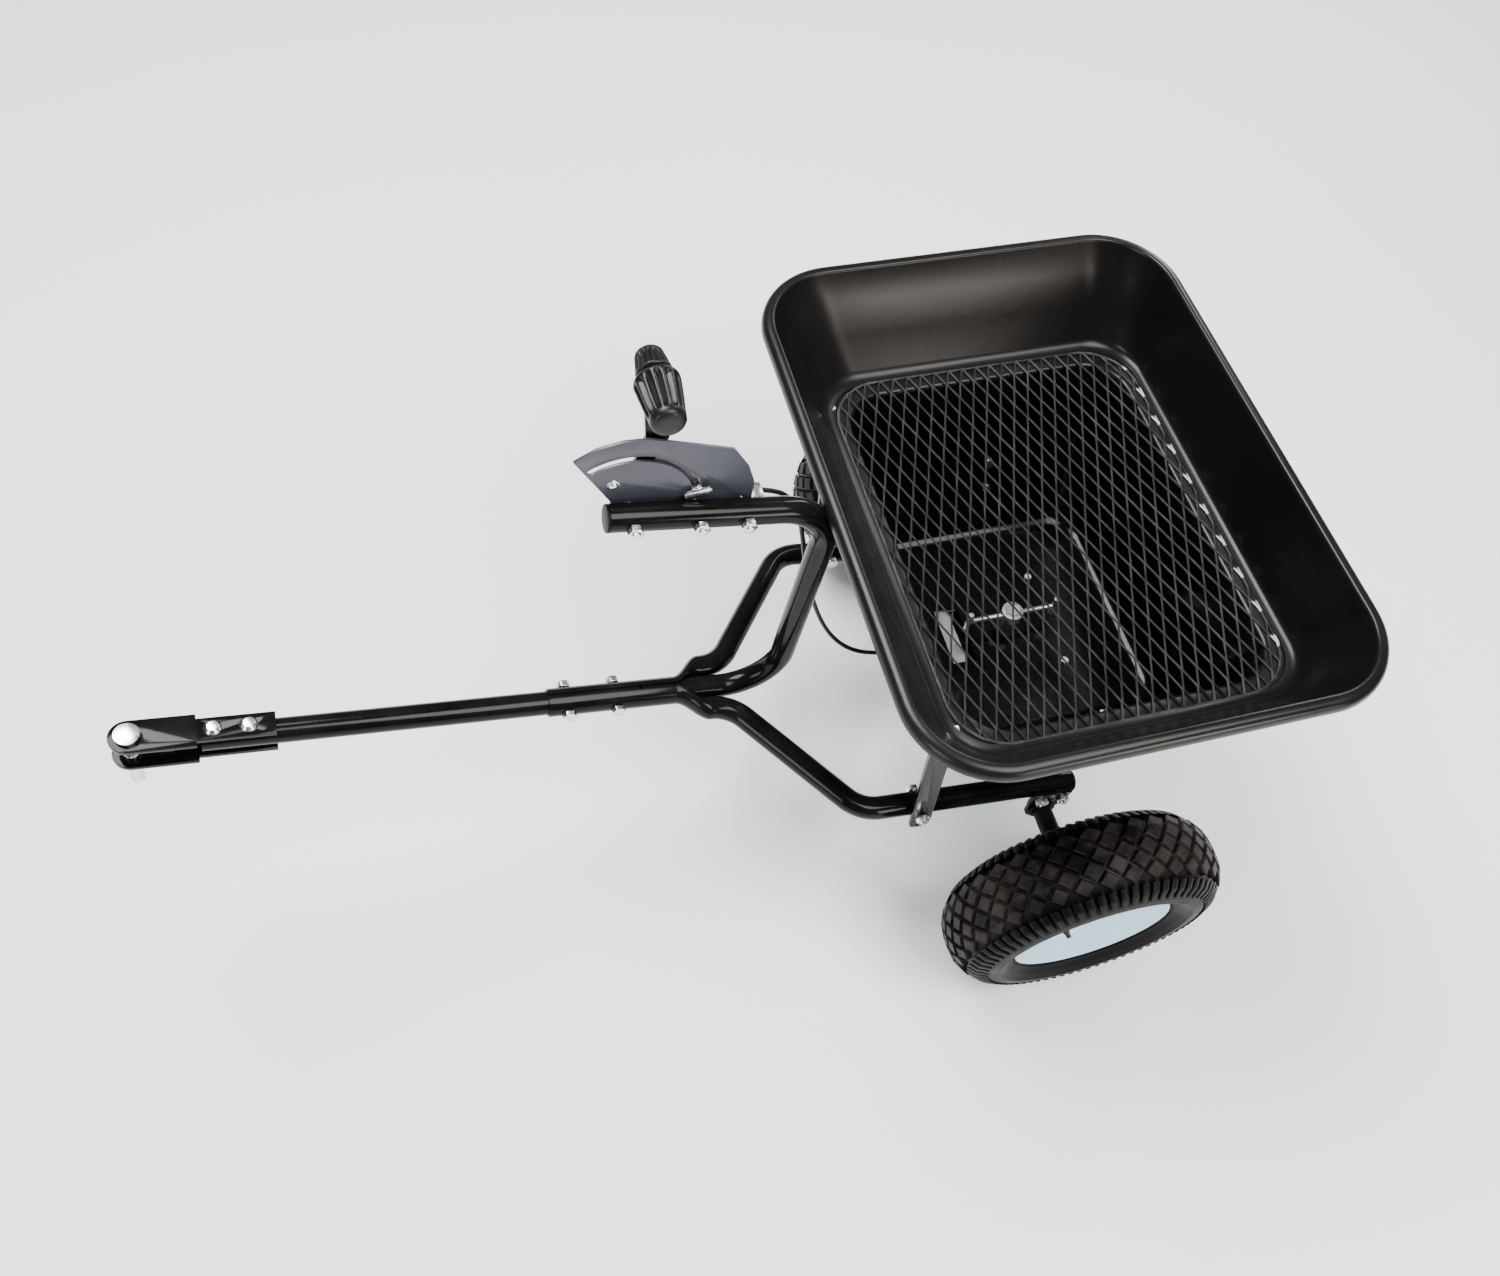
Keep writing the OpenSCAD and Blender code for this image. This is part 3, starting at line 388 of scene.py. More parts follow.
def tread_dust_and_sheen(material):
    """Pale brown patches on the outer faces of the tread blocks, by their distance from the axle: partly dust,
    partly a painted highlight on the block tops.
    """
    tree = material.node_tree
    place = node(tree, "ShaderNodeTexCoord").outputs["Object"]
    centred = node(tree, "ShaderNodeMapping",
                   {"Vector": place, "Location": (-AXLE.x, 0.0, -AXLE.z), "Scale": (1.0, 0.0, 1.0)})
    reach = node(tree, "ShaderNodeVectorMath", {0: centred.outputs["Vector"]}, operation="LENGTH")
    outer = ramp(tree, reach.outputs["Value"], 0.1395, 0.1475)
    patchy = ramp(tree, noise(tree, place, 26.0, 6.0, 0.7), 0.42, 0.66, **{"To Min": 0.08})
    # partly dust, partly painted highlight: pale patches laid on the outer faces of the tread blocks
    overlaid(material, (0.036, 0.030, 0.028), product(tree, outer, patchy))


def painted_rear_edge_glints(material):
    """Painted glints along the screen's rear edge, one to every cell, standing for the cut strand ends
    catching the light.
    """
    tree = material.node_tree
    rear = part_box("hopper_screen")[0][0]
    place = node(tree, "ShaderNodeTexCoord").outputs["Object"]
    split = node(tree, "ShaderNodeSeparateXYZ", {"Vector": place})
    edge = ramp(tree, split.outputs["X"], rear + 0.0075, rear + 0.005)
    turns = node(tree, "ShaderNodeMath", {0: split.outputs["Y"], 1: 2 * pi / CELL_Y}, operation="MULTIPLY")
    wave = node(tree, "ShaderNodeMath", {0: turns.outputs[0]}, operation="SINE")
    ends = ramp(tree, wave.outputs[0], 0.45, 0.7)
    # painted highlight: pale dashes at the rear edge where the strand ends catch the light
    overlaid(material, (0.62, 0.6, 0.57), product(tree, edge, ends))


def painted_well_shade(material):
    """The hopper under its ledge, painted near-black as the shade that falls into the well, and polished by
    what slides through it.
    """
    tree = material.node_tree
    rough = tree.nodes["Principled BSDF"].inputs["Roughness"]
    place = node(tree, "ShaderNodeTexCoord").outputs["Object"]
    split = node(tree, "ShaderNodeSeparateXYZ", {"Vector": place})
    below = ramp(tree, split.outputs["Z"], LEDGE_Z * MM, (LEDGE_Z - 40) * MM)
    # painted shade: near-black colour below the ledge, where the well lies in shadow
    overlaid(material, (0.0012, 0.0011, 0.001), below)
    glossier = node(tree, "ShaderNodeMath", {0: below, 1: -0.14, 2: rough.links[0].from_socket},
                    operation="MULTIPLY_ADD")
    tree.links.new(glossier.outputs[0], rough)


# ---- sizes and colours ----
CELL_Y = 0.0408                 # width of a diamond of the screen, in metres


class CartHopper(bpy.types.PropertyGroup):
    """Hopper and its screen."""
    corner_steps: IntProperty(name="Corner steps", description="Faces round each corner of the hopper",
                              default=16, min=4, max=32)
    wall: FloatProperty(name="Wall", description="Thickness of the hopper's wall", default=0.0035,
                        min=0.002, max=0.006, unit="LENGTH")
    wire: FloatProperty(name="Wire", description="Width of a strand of the screen", default=0.0032,
                        min=0.001, max=0.004, unit="LENGTH")
    cell_x: FloatProperty(name="Cell length", description="Screen's diamond along the cart", default=0.016,
                          min=0.008, max=0.04, unit="LENGTH")
    cell_y: FloatProperty(name="Cell width", description="Screen's diamond across the cart", default=CELL_Y,
                          min=0.016, max=0.08, unit="LENGTH")


class CartWheels(bpy.types.PropertyGroup):
    """Tyres and rims."""
    pitches: IntProperty(name="Tread pitches", description="Repeats of the tread round a tyre", default=36,
                         min=16, max=48)
    tread: FloatProperty(name="Tread depth", description="Height of the tread blocks", default=0.006,
                         min=0.002, max=0.01, unit="LENGTH")


class CartFrame(bpy.types.PropertyGroup):
    """Frame tubes and the flow control."""
    tube: FloatProperty(name="Tube radius", description="Radius of the frame tubes", default=0.0127,
                        min=0.01, max=0.016, unit="LENGTH")
    bevel: FloatProperty(name="Edge rounding", description="Rounding of pressed and cut edges",
                         default=0.0006, min=0.0001, max=0.002, unit="LENGTH")
    flutes: IntProperty(name="Knob flutes", description="Grooves round the lever's knob", default=14,
                        min=6, max=24)


class CartColours(bpy.types.PropertyGroup):
    """Main colours."""
    hopper: FloatVectorProperty(name="Hopper", description="Moulded hopper", subtype="COLOR",
                                default=(0.0034, 0.0031, 0.0031), min=0, max=1)
    paint: FloatVectorProperty(name="Frame", description="Powder coat of the frame", subtype="COLOR",
                               default=(0.0022, 0.0022, 0.0025), min=0, max=1)
    rim: FloatVectorProperty(name="Rims", description="Paint of the wheel rims", subtype="COLOR",
                             default=(0.40, 0.62, 0.80), min=0, max=1)
    floor: FloatVectorProperty(name="Floor", description="Studio floor", subtype="COLOR",
                               default=(0.93, 0.93, 0.93), min=0, max=1)


# ---- operators ----
class CART_OT_finishes(bpy.types.Operator):
    """Makes the shared effects and one finish for each material slot, and gives the CAD nodes theirs"""
    bl_idname = "cart.finishes"
    bl_label = "Finishes"

    def execute(self, context):
        for make in (grain_group, wear_group, dust_group, scratch_group):
            make()
        colours = context.scene.cart_colours
        dusty = (0.16, 0.145, 0.13)
        black = tuple(colours.hopper)
        paint = tuple(colours.paint)
        rim = tuple(colours.rim)
        finish("hopper_poly", black, tuple(1.7 * c for c in black), (0.23, 0.32), specular=0.2, grain=700.0,
               patch=4.0, bump=0.12, depth=0.0002, rubs=(0.25, (0.022, 0.02, 0.019)), dust=(0.02, dusty))
        # painted shade in the hopper's well below the ledge
        painted_well_shade(bpy.data.materials["cart_hopper_poly"])
        finish("frame_paint", paint, (0.004, 0.004, 0.0042), (0.11, 0.15), specular=0.13, grain=420.0,
               patch=14.0, bump=0.12, depth=0.0002, rubs=(0.2, (0.02, 0.02, 0.02)), dust=(0.03, dusty))
        finish("mesh", (0.02, 0.019, 0.018), (0.042, 0.039, 0.036), (0.3, 0.44), metallic=0.2, grain=900.0,
               patch=18.0, bump=0.2, wear=(0.35, (0.16, 0.15, 0.145)), rubs=(0.4, (0.09, 0.085, 0.08)))
        # painted highlights along the screen's rear edge
        painted_rear_edge_glints(bpy.data.materials["cart_mesh"])
        finish("zinc", (0.66, 0.67, 0.70), (0.80, 0.80, 0.82), (0.18, 0.3), metallic=1.0, grain=500.0,
               patch=120.0, bump=0.12, rubs=(0.4, (0.45, 0.45, 0.46)))
        finish("steel", (0.42, 0.42, 0.43), (0.52, 0.52, 0.53), (0.26, 0.38), metallic=1.0, grain=900.0,
               patch=60.0, bump=0.12, rubs=(0.5, (0.3, 0.3, 0.3)))
        finish("gear_metal", (0.36, 0.36, 0.36), (0.46, 0.45, 0.44), (0.34, 0.5), metallic=1.0, grain=700.0,
               patch=50.0, rubs=(0.5, (0.2, 0.2, 0.2)))
        finish("gate_metal", (0.3, 0.31, 0.32), (0.4, 0.41, 0.42), (0.3, 0.44), metallic=1.0, grain=600.0,
               patch=40.0, rubs=(0.6, (0.25, 0.25, 0.25)))
        finish("cast_alloy", (0.10, 0.10, 0.105), (0.15, 0.15, 0.155), (0.5, 0.65), metallic=0.6, grain=260.0,
               patch=30.0, bump=0.5, depth=0.0006, rubs=(0.5, (0.2, 0.2, 0.2)))
        finish("plate_grey", (0.040, 0.043, 0.056), (0.050, 0.053, 0.068), (0.28, 0.36), metallic=0.2,
               grain=800.0, patch=9.0, bump=0.08, rubs=(0.25, (0.075, 0.08, 0.092)))
        finish("rim_paint", rim, tuple(c * 0.94 for c in rim), (0.26, 0.36), coat=0.3, specular=0.35,
               grain=500.0, patch=16.0, bump=0.1, rubs=(0.3, tuple(c * 0.82 for c in rim)), dust=(0.05, dusty))
        finish("tyre_rubber", (0.0022, 0.0021, 0.0024), (0.0042, 0.004, 0.0045), (0.36, 0.5), specular=0.07,
               grain=900.0, patch=26.0, bump=0.3, depth=0.0003)
        # tread block tops: dust together with a painted highlight
        tread_dust_and_sheen(bpy.data.materials["cart_tyre_rubber"])
        finish("valve_rubber", (0.005, 0.005, 0.005), (0.008, 0.008, 0.008), (0.4, 0.5), specular=0.3,
               grain=900.0)
        finish("nylon", (0.003, 0.003, 0.003), (0.006, 0.006, 0.006), (0.4, 0.55), specular=0.1, grain=700.0,
               bump=0.2)
        finish("grip", (0.004, 0.0038, 0.0038), (0.008, 0.0072, 0.007), (0.26, 0.36), specular=0.2,
               grain=800.0, patch=40.0, bump=0.2, wear=(0.45, (0.085, 0.08, 0.075)))
        finish("cable_skin", (0.004, 0.004, 0.004), (0.006, 0.006, 0.006), (0.3, 0.4), specular=0.35,
               grain=900.0)
        for part in frame["record"]["subparts"]:
            for place in frame["nodes"][part["node"]].material_slots:
                place.material = bpy.data.materials["cart_" + part["material_slot"]]
        return {"FINISHED"}


# hopper sections: middle x, half length, half width and corner radius, in millimetres
TOP = (29, 216, 282, 71)
LEDGE = (4, 185, 231, 55)
WELL = (4, 160, 208, 45)
FLOOR = (4, 140, 134, 40)
RIM_Z = 555.0
LEDGE_Z = 444.0
FLOOR_Z = 254.5
FILLET_STEPS = (30, 60, 90)


def between(low, high, share):
    """A hopper section part of the way from one to another."""
    return tuple(a + (b - a) * share for a, b in zip(low, high))


def upper(z):
    """The hopper's section above its ledge."""
    return between(LEDGE, TOP, (z - LEDGE_Z) / (RIM_Z - LEDGE_Z))


def lower(z):
    """The hopper's section below its ledge."""
    return between(FLOOR, WELL, (z - FLOOR_Z) / (LEDGE_Z - FLOOR_Z))


class CART_OT_hopper(bpy.types.Operator):
    """Moulds the hopper: floor, well, ledge, upper wall, rolled rim and the outside back to the floor"""
    bl_idname = "cart.hopper"
    bl_label = "Hopper"

    def execute(self, context):
        sizes = context.scene.cart_hopper
        steps = sizes.corner_steps
        wall = sizes.wall / MM

        def ring(section, grow, z):
            x, long, wide, radius = section
            long, wide, radius = long + grow, wide + grow, radius + grow
            points = []
            for along, across, first in ((1, 1, 0), (-1, 1, 90), (-1, -1, 180), (1, -1, 270)):
                for step in range(steps + 1):
                    a = radians(first + 90 * step / steps)
                    points.append(at(x + along * (long - radius) + radius * cos(a),
                                     across * (wide - radius) + radius * sin(a), z))
            return points

        curve = [radians(a) for a in FILLET_STEPS]
        rings = [ring(FLOOR, -12, FLOOR_Z)]
        for a in curve:
            z = FLOOR_Z + 12 * (1 - cos(a))
            rings.append(ring(lower(z), -12 * (1 - sin(a)), z))
        rings.append(ring(lower(LEDGE_Z - 5), 0, LEDGE_Z - 5))
        rings += [ring(lower(LEDGE_Z - 5), 5 * (1 - cos(a)), LEDGE_Z - 5 + 5 * sin(a)) for a in curve]
        rings += [ring(LEDGE, -10.5, LEDGE_Z), ring(LEDGE, -9.6, LEDGE_Z + 1.8), ring(LEDGE, -8, LEDGE_Z + 2)]
        for a in curve:
            z = LEDGE_Z + 2 + 8 * (1 - cos(a))
            rings.append(ring(upper(z), -8 * (1 - sin(a)), z))
        rings += [ring(upper(z), 0, z) for z in (RIM_Z - 66, RIM_Z - 31)]
        # the rolled rim: steps out from the inner wall and above the rim's crest
        roll = ((0, -5), (0.3, -3), (1.2, -1.2), (2.6, -0.2), (4.4, 0), (7.6, -0.5), (10.2, -1.8),
                (12.3, -4), (13.6, -7), (14, -10), (14, -12), (12.4, -12), (12.2, -9), (11, -6.2),
                (8.6, -4.4), (6, -4.4), (4.2, -6))
        rings += [ring(TOP, out, RIM_Z + rise) for out, rise in roll]
        rings += [ring(upper(z), wall, z) for z in (RIM_Z - 10, RIM_Z - 66, LEDGE_Z + 8)]
        rings += [ring(LEDGE, wall - 8 * (1 - cos(a)), LEDGE_Z + 4.5 - 8 * sin(a)) for a in curve]
        rings += [ring(WELL, wall + 5 * (1 - sin(a)), LEDGE_Z - wall - 5 * (1 - cos(a))) for a in (0, *curve)]
        rings.append(ring(lower(FLOOR_Z + 8.5), wall, FLOOR_Z + 8.5))
        rings += [ring(FLOOR, wall - 12 * (1 - cos(a)), FLOOR_Z + 8.5 - 12 * sin(a)) for a in curve]
        piece = skin("hopper_tub", rings)
        outlet = at(62, 0, FLOOR_Z)
        rest()
        bpy.ops.mesh.primitive_cube_add(size=1, location=outlet, scale=(0.028, 0.07, 0.03))
        cut(piece, named("outlet_cutter"))
        rest()
        bpy.ops.mesh.primitive_cylinder_add(vertices=48, radius=0.0112, depth=0.03,
                                            location=at(0, 0, FLOOR_Z))
        cut(piece, named("bush_cutter"))
        done(piece, "frame", "hopper_poly", ["hopper"], angle=32)
        return {"FINISHED"}


class CART_OT_screen(bpy.types.Operator):
    """Expands the screen's diamond mesh and trims it to its round-cornered outline"""
    bl_idname = "cart.screen"
    bl_label = "Screen"

    def execute(self, context):
        sizes = context.scene.cart_hopper
        low, high = (Vector(corner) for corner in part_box("hopper_screen"))
        centre = (low + high) / 2
        half = (high - low) / 2
        corner = 0.055
        cells = 36
        rest()
        bpy.ops.mesh.primitive_grid_add(x_subdivisions=cells, y_subdivisions=cells, size=cells)
        piece = named("screen_mesh")
        bpy.ops.object.mode_set(mode="EDIT")
        bpy.ops.mesh.select_all(action="SELECT")
        bpy.ops.transform.rotate(value=pi / 4, orient_axis="Z", center_override=(0, 0, 0))
        bpy.ops.transform.resize(value=(sizes.cell_x / 2**0.5, sizes.cell_y / 2**0.5, 1),
                                 center_override=(0, 0, 0))
        mesh = bmesh.from_edit_mesh(piece.data)
        for vertex in mesh.verts:
            row = round(2 * vertex.co.y / sizes.cell_y)
            vertex.co += centre + Vector((sizes.cell_x / 2, 0, 0.0003 if row % 2 else -0.0003))
        bmesh.update_edit_mesh(piece.data)
        for step in range(24):
            a = radians(15 * step)
            outwards = Vector((cos(a), sin(a), 0))
            reach = outwards * corner
            for axis in (0, 1):
                reach[axis] += (half[axis] - corner) * (1 if outwards[axis] > 0 else -1)
            bpy.ops.mesh.select_all(action="SELECT")
            bpy.ops.mesh.bisect(plane_co=centre + reach, plane_no=outwards, clear_outer=True)
        bpy.ops.mesh.select_all(action="SELECT")
        bpy.ops.mesh.remove_doubles(threshold=0.0008)
        bpy.ops.object.mode_set(mode="OBJECT")
        modify(piece, "WIREFRAME", thickness=sizes.wire, offset=0.0, use_even_offset=False, use_boundary=True)
        done(piece, "screen", "mesh", ["hopper_screen"], angle=50)
        return {"FINISHED"}


# outlines in millimetres: radius from the axle and distance across, outwards from the wheel's middle
SIDEWALL = (
    (82.2, 31.8), (86, 33.4), (88.6, 34.6), (89.6, 37.4), (91.5, 40.2), (95, 41.6), (98, 44.4), (102, 47),
    (106, 48.6), (107.4, 49.7), (109.4, 50), (110.8, 49.5), (115, 49.5), (119, 48.6), (122.6, 46.8),
    (126, 44.2), (129.6, 40.6), (133.8, 36.6), (139.2, 31.4), (143.4, 25), (146.4, 17.5), (148, 9))
LINER = ((139, 18), (136, 30), (128, 38), (116, 42), (104, 38.5), (94, 30), (88, 25), (82.2, 21))
RIM = (
    (11.1, -38), (14, -38), (14, 9), (18, 14), (66, 28.6), (68.4, 27.5), (68, 16),
    (68, -16), (70, -20), (78, -34.6), (82, -37.2), (85, -38.2), (87, -38.4), (88.2, -37.2), (88, -35.4),
    (85, -33.4), (81, -32.4), (78, -28), (73, -17), (71, -14.6), (71, 14.6), (73, 17), (78, 28), (81, 32.4),
    (85, 33.4), (88, 35.4), (88.2, 37.2), (87, 38.4), (85, 38.1), (82.4, 36.6), (80, 35.4), (77, 34.8),
    (73.6, 34.6), (70, 33.8), (25, 20.2), (21, 19), (18.2, 18), (16.8, 16.2), (11.1, 16))
# valve: radius and turn on the disc, height of the disc there and lean towards the hub
VALVE_R, VALVE_TURN, VALVE_Y, VALVE_LEAN = 54.0, radians(38), 29.0, radians(16.8)
VALVE = ((-2, 6), (0.6, 6), (1.4, 5.4), (3, 4.2), (9, 3.9), (10, 3.6), (10.3, 2.9), (14.6, 2.8), (15.4, 2.4))


# crown of the tread, in metres: its radius, its fall at the edge, how that grows, and half its width
CROWN_R, CROWN_FALL, CROWN_POWER, CROWN_HALF = 0.1535, 0.0284, 2.63, 0.05


def crown(across):
    """Radius in metres of the tread's surface at a distance from the tyre's middle, and its slope there."""
    share = abs(across) / CROWN_HALF
    radius = CROWN_R - CROWN_FALL * share**CROWN_POWER
    slope = CROWN_FALL * CROWN_POWER * share**(CROWN_POWER - 1) / CROWN_HALF
    return radius, (slope if across > 0 else -slope)


def tread_block(across, turn, depth, long, wide):
    """One diamond block of the tread, on top of a wheel that stands at the origin."""
    radius, slope = crown(across)
    rest()
    bpy.ops.mesh.primitive_cylinder_add(vertices=4, radius=1, depth=1, location=(0, 0, 0))
    block = named("block")
    bpy.ops.object.mode_set(mode="EDIT")
    mesh = bmesh.from_edit_mesh(block.data)
    for vertex in mesh.verts:
        top = vertex.co.z > 0
        size = 0.88 if top else 1.1
        vertex.co = (vertex.co.x * long * size, vertex.co.y * wide * size, 0 if top else -depth - 0.003)
    for edge in mesh.edges:
        edge.select_set(abs(edge.verts[0].co.z - edge.verts[1].co.z) > depth)
    bmesh.update_edit_mesh(block.data)
    bpy.ops.mesh.bevel(offset=0.0026, segments=2)
    mesh = bmesh.from_edit_mesh(block.data)
    for face in mesh.faces:
        face.select_set(face.normal.z > 0.9)
    bmesh.update_edit_mesh(block.data)
    bpy.ops.mesh.bevel(offset=0.0009, segments=1)
    bpy.ops.object.mode_set(mode="OBJECT")
    block.data.transform(Matrix.Rotation(turn, 4, "Y") @ Matrix.Translation((0, across, radius))
                         @ Matrix.Rotation(-atan(slope), 4, "X"))
    return block


def shoulder_lug(side, turn):
    """One lug that runs from the tread's edge down the sidewall."""
    rest()
    bpy.ops.mesh.primitive_cube_add(size=2, location=(0, 0, 0))
    lug = named("lug")
    # half width round the tyre, then across and radius in millimetres, at the lug's four corners
    shape = {(1, 1): (4.2, 44.0, 134.2), (-1, 1): (4.6, 35.5, 141.8), (1, -1): (2.9, 49.9, 121.5),
             (-1, -1): (3.2, 42, 121)}
    for vertex in lug.data.vertices:
        wide, across, radius = shape[(1 if vertex.co.y > 0 else -1, 1 if vertex.co.z > 0 else -1)]
        vertex.co = Vector((wide * (1 if vertex.co.x > 0 else -1), across, radius)) * MM
    bpy.ops.object.mode_set(mode="EDIT")
    bpy.ops.mesh.select_all(action="SELECT")
    bpy.ops.mesh.bevel(offset=0.0012, segments=2)
    bpy.ops.object.mode_set(mode="OBJECT")
    lug.data.transform(Matrix.Rotation(turn, 4, "Y") @ Matrix.Diagonal((1, side, 1, 1)))
    return lug


class CART_OT_tyres(bpy.types.Operator):
    """Spins each tyre's carcass and sets a staggered diamond tread and shoulder lugs round it"""
    bl_idname = "cart.tyres"
    bl_label = "Tyres"

    def execute(self, context):
        sizes = context.scene.cart_wheels
        step = 2 * pi / sizes.pitches
        rows = ((0, 0), (0.0128, 0.5), (-0.0128, 0.5), (0.0258, 0), (-0.0258, 0))
        blocks = [tread_block(across, turn * step, sizes.tread, 0.0112, 0.0100) for across, turn in rows]
        blocks += [shoulder_lug(side, turn * step) for side in (1, -1) for turn in (0.0, 0.5)]
        tread = joined(blocks)
        bpy.ops.object.mode_set(mode="EDIT")
        bpy.ops.mesh.select_all(action="SELECT")
        bpy.ops.mesh.spin(steps=sizes.pitches - 1, angle=2 * pi - step, center=(0, 0, 0), axis=(0, 1, 0),
                          dupli=True)
        tidy_mesh(tread, 1e-6)
        outline = list(SIDEWALL) + [(148, 0)] + [(r, -y) for r, y in reversed(SIDEWALL)]
        outline += [(r, -y) for r, y in reversed(LINER)] + [(140.5, 0)] + list(LINER)
        for side, body, name in ((1, "left_wheel", "left"), (-1, "axle_set", "right")):
            centre = at(0, side * WHEEL_Y, AXLE.z / MM)
            carcass = turned("tyre_body_" + name, outline, centre, side, 120)
            knobs = bpy.data.objects.new("knobs", tread.data.copy())
            context.collection.objects.link(knobs)
            knobs.data.transform(Matrix.Translation(centre))
            piece = joined([carcass, knobs])
            done(piece, body, "tyre_rubber", ["tyre_" + name], angle=30)
        hold(tread)
        bpy.ops.object.delete()
        return {"FINISHED"}


class CART_OT_rims(bpy.types.Operator):
    """Spins the pressed wheel rims"""
    bl_idname = "cart.rims"
    bl_label = "Rims"

    def execute(self, context):
        for side, body, name in ((1, "left_wheel", "left"), (-1, "axle_set", "right")):
            centre = at(0, side * WHEEL_Y, AXLE.z / MM)
            piece = turned("rim_disc_" + name, RIM, centre, side, 128)
            done(piece, body, "rim_paint", ["wheel_rim_" + name], angle=28)
        return {"FINISHED"}


class CART_OT_valves(bpy.types.Operator):
    """Moulds the rubber valve stems that lean in from the wheel discs"""
    bl_idname = "cart.valves"
    bl_label = "Valve stems"

    def execute(self, context):
        for side, body, name in ((1, "left_wheel", "left"), (-1, "axle_set", "right")):
            radial = Vector((side * cos(VALVE_TURN), 0, sin(VALVE_TURN)))
            out = Vector((0, side, 0)) * cos(VALVE_LEAN) - radial * sin(VALVE_LEAN)
            across = radial.cross(out)
            foot = at(0, side * (WHEEL_Y + VALVE_Y), AXLE.z / MM) + radial * VALVE_R * MM
            level = out.cross(across)
            rings = [[foot + (out * rise + radius * (across * cos(a) + level * sin(a))) * MM
                      for a in ROUND_32] for rise, radius in VALVE]
            done(skin("valve_" + name, rings), body, "valve_rubber", ["valve_stem_" + name], angle=40)
        return {"FINISHED"}


# lanes of a side tube: the outer half of its ring from top to bottom, then the inner half back up
HALF_LANES = 16
OUTER = [radians(84 - 168 * lane / (HALF_LANES - 1)) for lane in range(HALF_LANES)]
INNER = [radians(-96 - 168 * lane / (HALF_LANES - 1)) for lane in range(HALF_LANES)]
# where a side tube stops being round, and the length over which it is pressed to a half shell
ROUND_END, PRESSED = 368, 33


class CART_OT_side_tubes(bpy.types.Operator):
    """Bends the two side tubes and presses their front ends to half shells round the drawbar"""
    bl_idname = "cart.side_tubes"
    bl_label = "Side tubes"

    def execute(self, context):
        radius = context.scene.cart_frame.tube / MM
        side_y, pinch_y = 169.0, 2 * radius + 0.9
        up = Vector((0, 0, 1))
        path = [Vector(p) for p in ((-30, side_y, TUBE_RISE), (232, side_y, TUBE_RISE),
                                    (344, pinch_y, TUBE_RISE), (ROUND_END, pinch_y, TUBE_RISE))]
        points = bent(path, 45, 12)
        tube = []
        for point, ahead in zip(points, headings(points)):
            out = up.cross(ahead)
            tube.append([point + radius * (out * cos(a) + up * sin(a)) for a in OUTER + INNER])
        shell = []
        for lane in range(2 * HALF_LANES):
            a = radians(82 - 164 * (lane % HALF_LANES) / (HALF_LANES - 1))
            reach = radius + 2.4 if lane < HALF_LANES else radius + 0.15
            shell.append((reach * cos(a), (1 if lane < HALF_LANES else -1) * reach * sin(a)))
        for u in range(371, 402, 5):
            share = (u - ROUND_END) / PRESSED
            share = share * share * (3 - 2 * share)
            ring = []
            for lane, a in enumerate(OUTER + INNER):
                start = (pinch_y + radius * cos(a), radius * sin(a))
                y = start[0] + (shell[lane][0] - start[0]) * share
                w = start[1] + (shell[lane][1] - start[1]) * share
                ring.append(Vector((u, y, TUBE_RISE + w)))
            tube.append(ring)
        for u in (404, 470, 539.5, 541):
            edge = 1 - 1 / 30 if u == 541 else 1
            tube.append([Vector((u, y * (edge if lane < HALF_LANES else 1), TUBE_RISE + w))
                         for lane, (y, w) in enumerate(shell)])
        for side, name in ((1, "left"), (-1, "right")):
            rings = [[tilted(p.x, side * p.y, p.z) for p in ring] for ring in tube]
            piece = skin("side_tube_" + name, rings)
            done(piece, "frame", "frame_paint", ["frame_tube_" + name], angle=40)
        return {"FINISHED"}


class CART_OT_centre_tubes(bpy.types.Operator):
    """Makes the drawbar and the riser that bends into the control tube"""
    bl_idname = "cart.centre_tubes"
    bl_label = "Drawbar and control tube"

    def execute(self, context):
        radius = context.scene.cart_frame.tube / MM
        inside = radius - 1.6
        wall = ((442.4, radius), (442, radius - 0.8), (442, inside), (875, inside), (875, radius - 0.5),
                (874.6, radius), (442.4, radius))
        rings = [[tilted(u, r * cos(a), TUBE_RISE + r * sin(a)) for a in ROUND_32] for u, r in wall]
        piece = skin("drawbar_tube", rings, solid=False)
        done(piece, "frame", "frame_paint", ["drawbar"], angle=40)
        top_u = 287 + CONTROL_RISE * tan(radians(5))
        top_w = TUBE_RISE + CONTROL_RISE
        path = [Vector((440, 0, TUBE_RISE)), Vector((287, 0, TUBE_RISE)), Vector((top_u, 0, top_w)),
                Vector((PIVOT_U + 21, 0, top_w))]
        rings = piped(bent(path, 60, 16), radius, Vector((0, 1, 0)), ROUND_32)
        piece = skin("riser_and_control_tube", rings)
        done(piece, "frame", "frame_paint", ["control_tube"], angle=40)
        return {"FINISHED"}


KNOB_AHEAD, KNOB_RISE = 4, 149  # knob's middle from the lever pivot and over the control tube


def fluted(name, stations, start, way, flutes, lanes_each=6):
    """A turned grip along Y with grooves. Stations hold distance, radius and groove depth in millimetres."""
    count = flutes * lanes_each
    rings = []
    for along, radius, depth in stations:
        ring = []
        for lane in range(count):
            a = 2 * pi * lane / count
            groove = depth * (0.5 + 0.5 * cos(flutes * a))**1.4
            reach = radius - groove
            ring.append(tilted(PIVOT_U + KNOB_AHEAD + reach * cos(a), start + way * along,
                               TUBE_RISE + CONTROL_RISE + KNOB_RISE + reach * sin(a)))
        rings.append(ring)
    return skin(name, rings)


